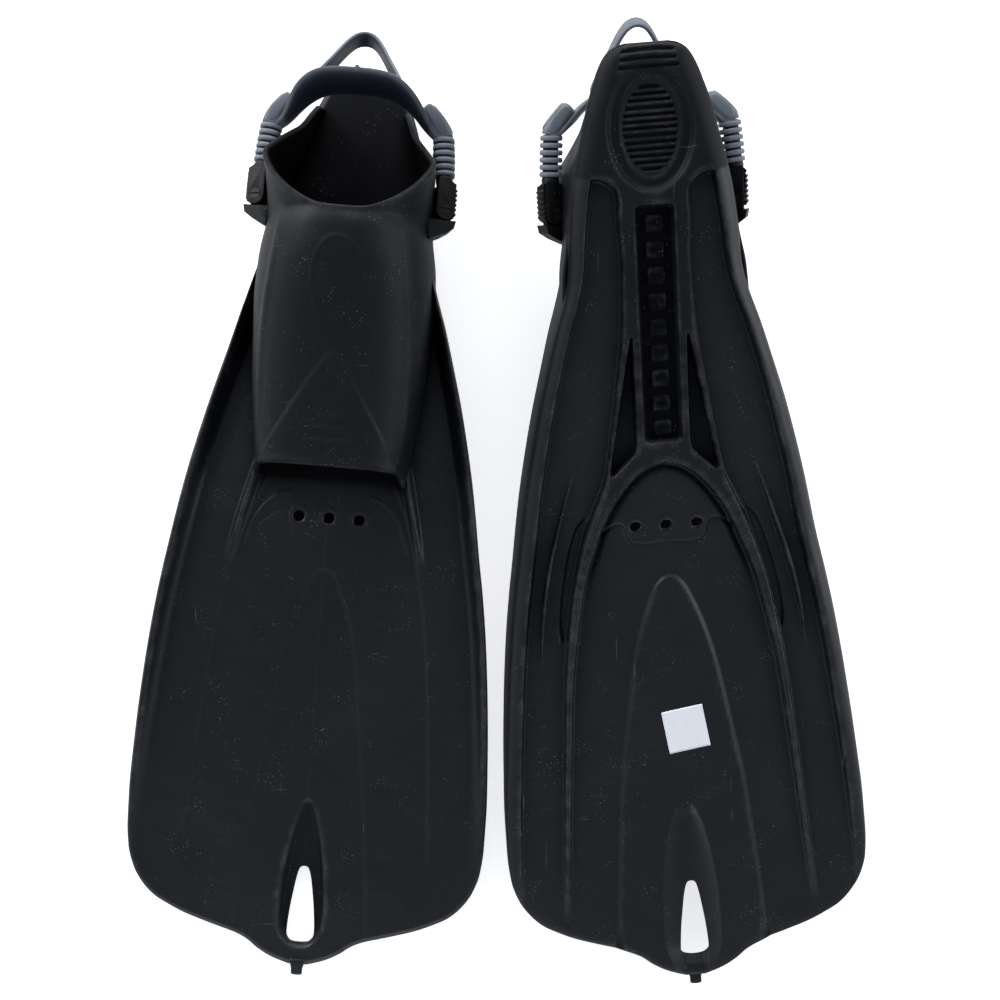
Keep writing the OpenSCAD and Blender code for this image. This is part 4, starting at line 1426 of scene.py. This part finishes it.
def build_world():
    """Bright low walls under a darker ceiling."""
    world = bpy.data.worlds.new("studio")
    bpy.context.scene.world = world
    world.use_nodes = True
    tree = world.node_tree
    background = tree.nodes["Background"]
    coordinates = tree.nodes.new("ShaderNodeTexCoord")
    split = tree.nodes.new("ShaderNodeSeparateXYZ")
    ramp = tree.nodes.new("ShaderNodeValToRGB")
    tree.links.new(coordinates.outputs["Generated"], split.inputs[0])
    tree.links.new(split.outputs["Z"], ramp.inputs[0])
    tree.links.new(ramp.outputs[0], background.inputs[0])
    bluish = [(height, (level * 0.92, level, level * 1.15))
              for height, level in ((0.30, 0.60), (0.62, 0.46), (0.80, 0.34), (0.93, 0.25))]
    fill_ramp(ramp, [(0.0, (0.55, 0.60, 0.68)), *bluish, (1.0, (0.185, 0.205, 0.25))])
    background.inputs[1].default_value = 1.0


def painted_shadow_oval(net, x, y):
    """Painted shadow on the ground: 1 inside an oval, 0 outside."""
    half_x, half_y = 0.035, 0.017
    offset = net.node("ShaderNodeVectorMath", {0: net.place, 1: (x, y, 0)}, operation="SUBTRACT")
    scale = net.node("ShaderNodeVectorMath",
                     {0: offset.outputs[0], 1: (1 / half_x, 1 / half_y, 0)}, operation="MULTIPLY")
    radius = net.node("ShaderNodeVectorMath", {0: scale.outputs[0]}, operation="LENGTH")
    return net.ramp(radius.outputs["Value"], (0.0, 1.0), (0.86, 1.0), (1.0, 0.0))


def build_floor():
    size = FLOOR_HALF
    corners = [(-size, -size, 0), (size, -size, 0), (size, size, 0), (-size, size, 0)]
    floor = make("floor", corners, [(0, 1, 2, 3)], smooth=False)
    floor.location.z = FLOOR_Z
    material, net, shader = new_material("floor_white")
    # Painted shadow: the ground is dark in two small ovals under the fins, where the drain holes look
    # through to it; there it neither glows nor shows white
    dark = net.math("MAXIMUM", painted_shadow_oval(net, CENTRE_X - 0.1116, CENTRE_Y - 0.0012),
                    painted_shadow_oval(net, CENTRE_X + 0.1172, CENTRE_Y - 0.0085))
    lit = net.math("SUBTRACT", 1.0, dark)
    white = net.mix(net.noise(scale=3, detail=2, rough=0.5),
                    (0.93, 0.93, 0.935), (0.95, 0.95, 0.95))
    # The floor glows more to the camera than it lights the fins
    camera_ray = net.node("ShaderNodeLightPath").outputs["Is Camera Ray"]
    net.feed(shader, {
        "Base Color": net.mix(lit, (0.02, 0.02, 0.02), white),
        "Roughness": 0.9,
        "Specular IOR Level": 0.1,
        "Emission Color": (1, 1, 1),
        "Emission Strength": net.times(lit, net.plus(net.times(camera_ray, 0.55), 0.15))})
    paint(floor, material)
    return floor


def add_light(name, place, target, width, height, power):
    light = bpy.data.lights.new(name, "AREA")
    light.shape = "RECTANGLE"
    light.size = width
    light.size_y = height
    light.energy = power
    ob = bpy.data.objects.new(name, light)
    ob.location = place
    aim = Vector(target) - Vector(place)
    ob.rotation_euler = aim.to_track_quat("-Z", "Y").to_euler()
    bpy.context.scene.collection.objects.link(ob)


def add_camera():
    """Looks straight down from above the pair."""
    camera = bpy.data.cameras.new("cam")
    camera.sensor_fit = "HORIZONTAL"
    camera.sensor_width = 36
    camera.lens = camera.sensor_width * CAMERA_HEIGHT / VIEW_WIDTH
    camera.shift_x = 0.026
    camera.shift_y = 0.020
    camera.clip_start = 0.01
    ob = bpy.data.objects.new("cam", camera)
    ob.location = (CENTRE_X - 0.01417, CENTRE_Y - 0.00291, CAMERA_HEIGHT)
    bpy.context.scene.collection.objects.link(ob)
    bpy.context.scene.camera = ob


build_world()
build_floor()
add_light("key", (-1.7, 1.5, 1.1), target=(0, 0.05, 0), width=1.1, height=1.1, power=34)
add_light("fill", (2.0, 0.4, 0.9), target=(0, 0, 0), width=1.2, height=1.2, power=13)
add_light("back", (0.2, 2.2, 0.8), target=(0, 0, 0.02), width=1.4, height=0.7, power=22)
add_light("front", (-0.3, -2.1, 0.7), target=(0, -0.1, 0), width=1.4, height=0.8, power=6)
add_camera()
bpy.context.scene.view_settings.view_transform = "Standard"
bpy.context.scene.view_settings.look = "None"
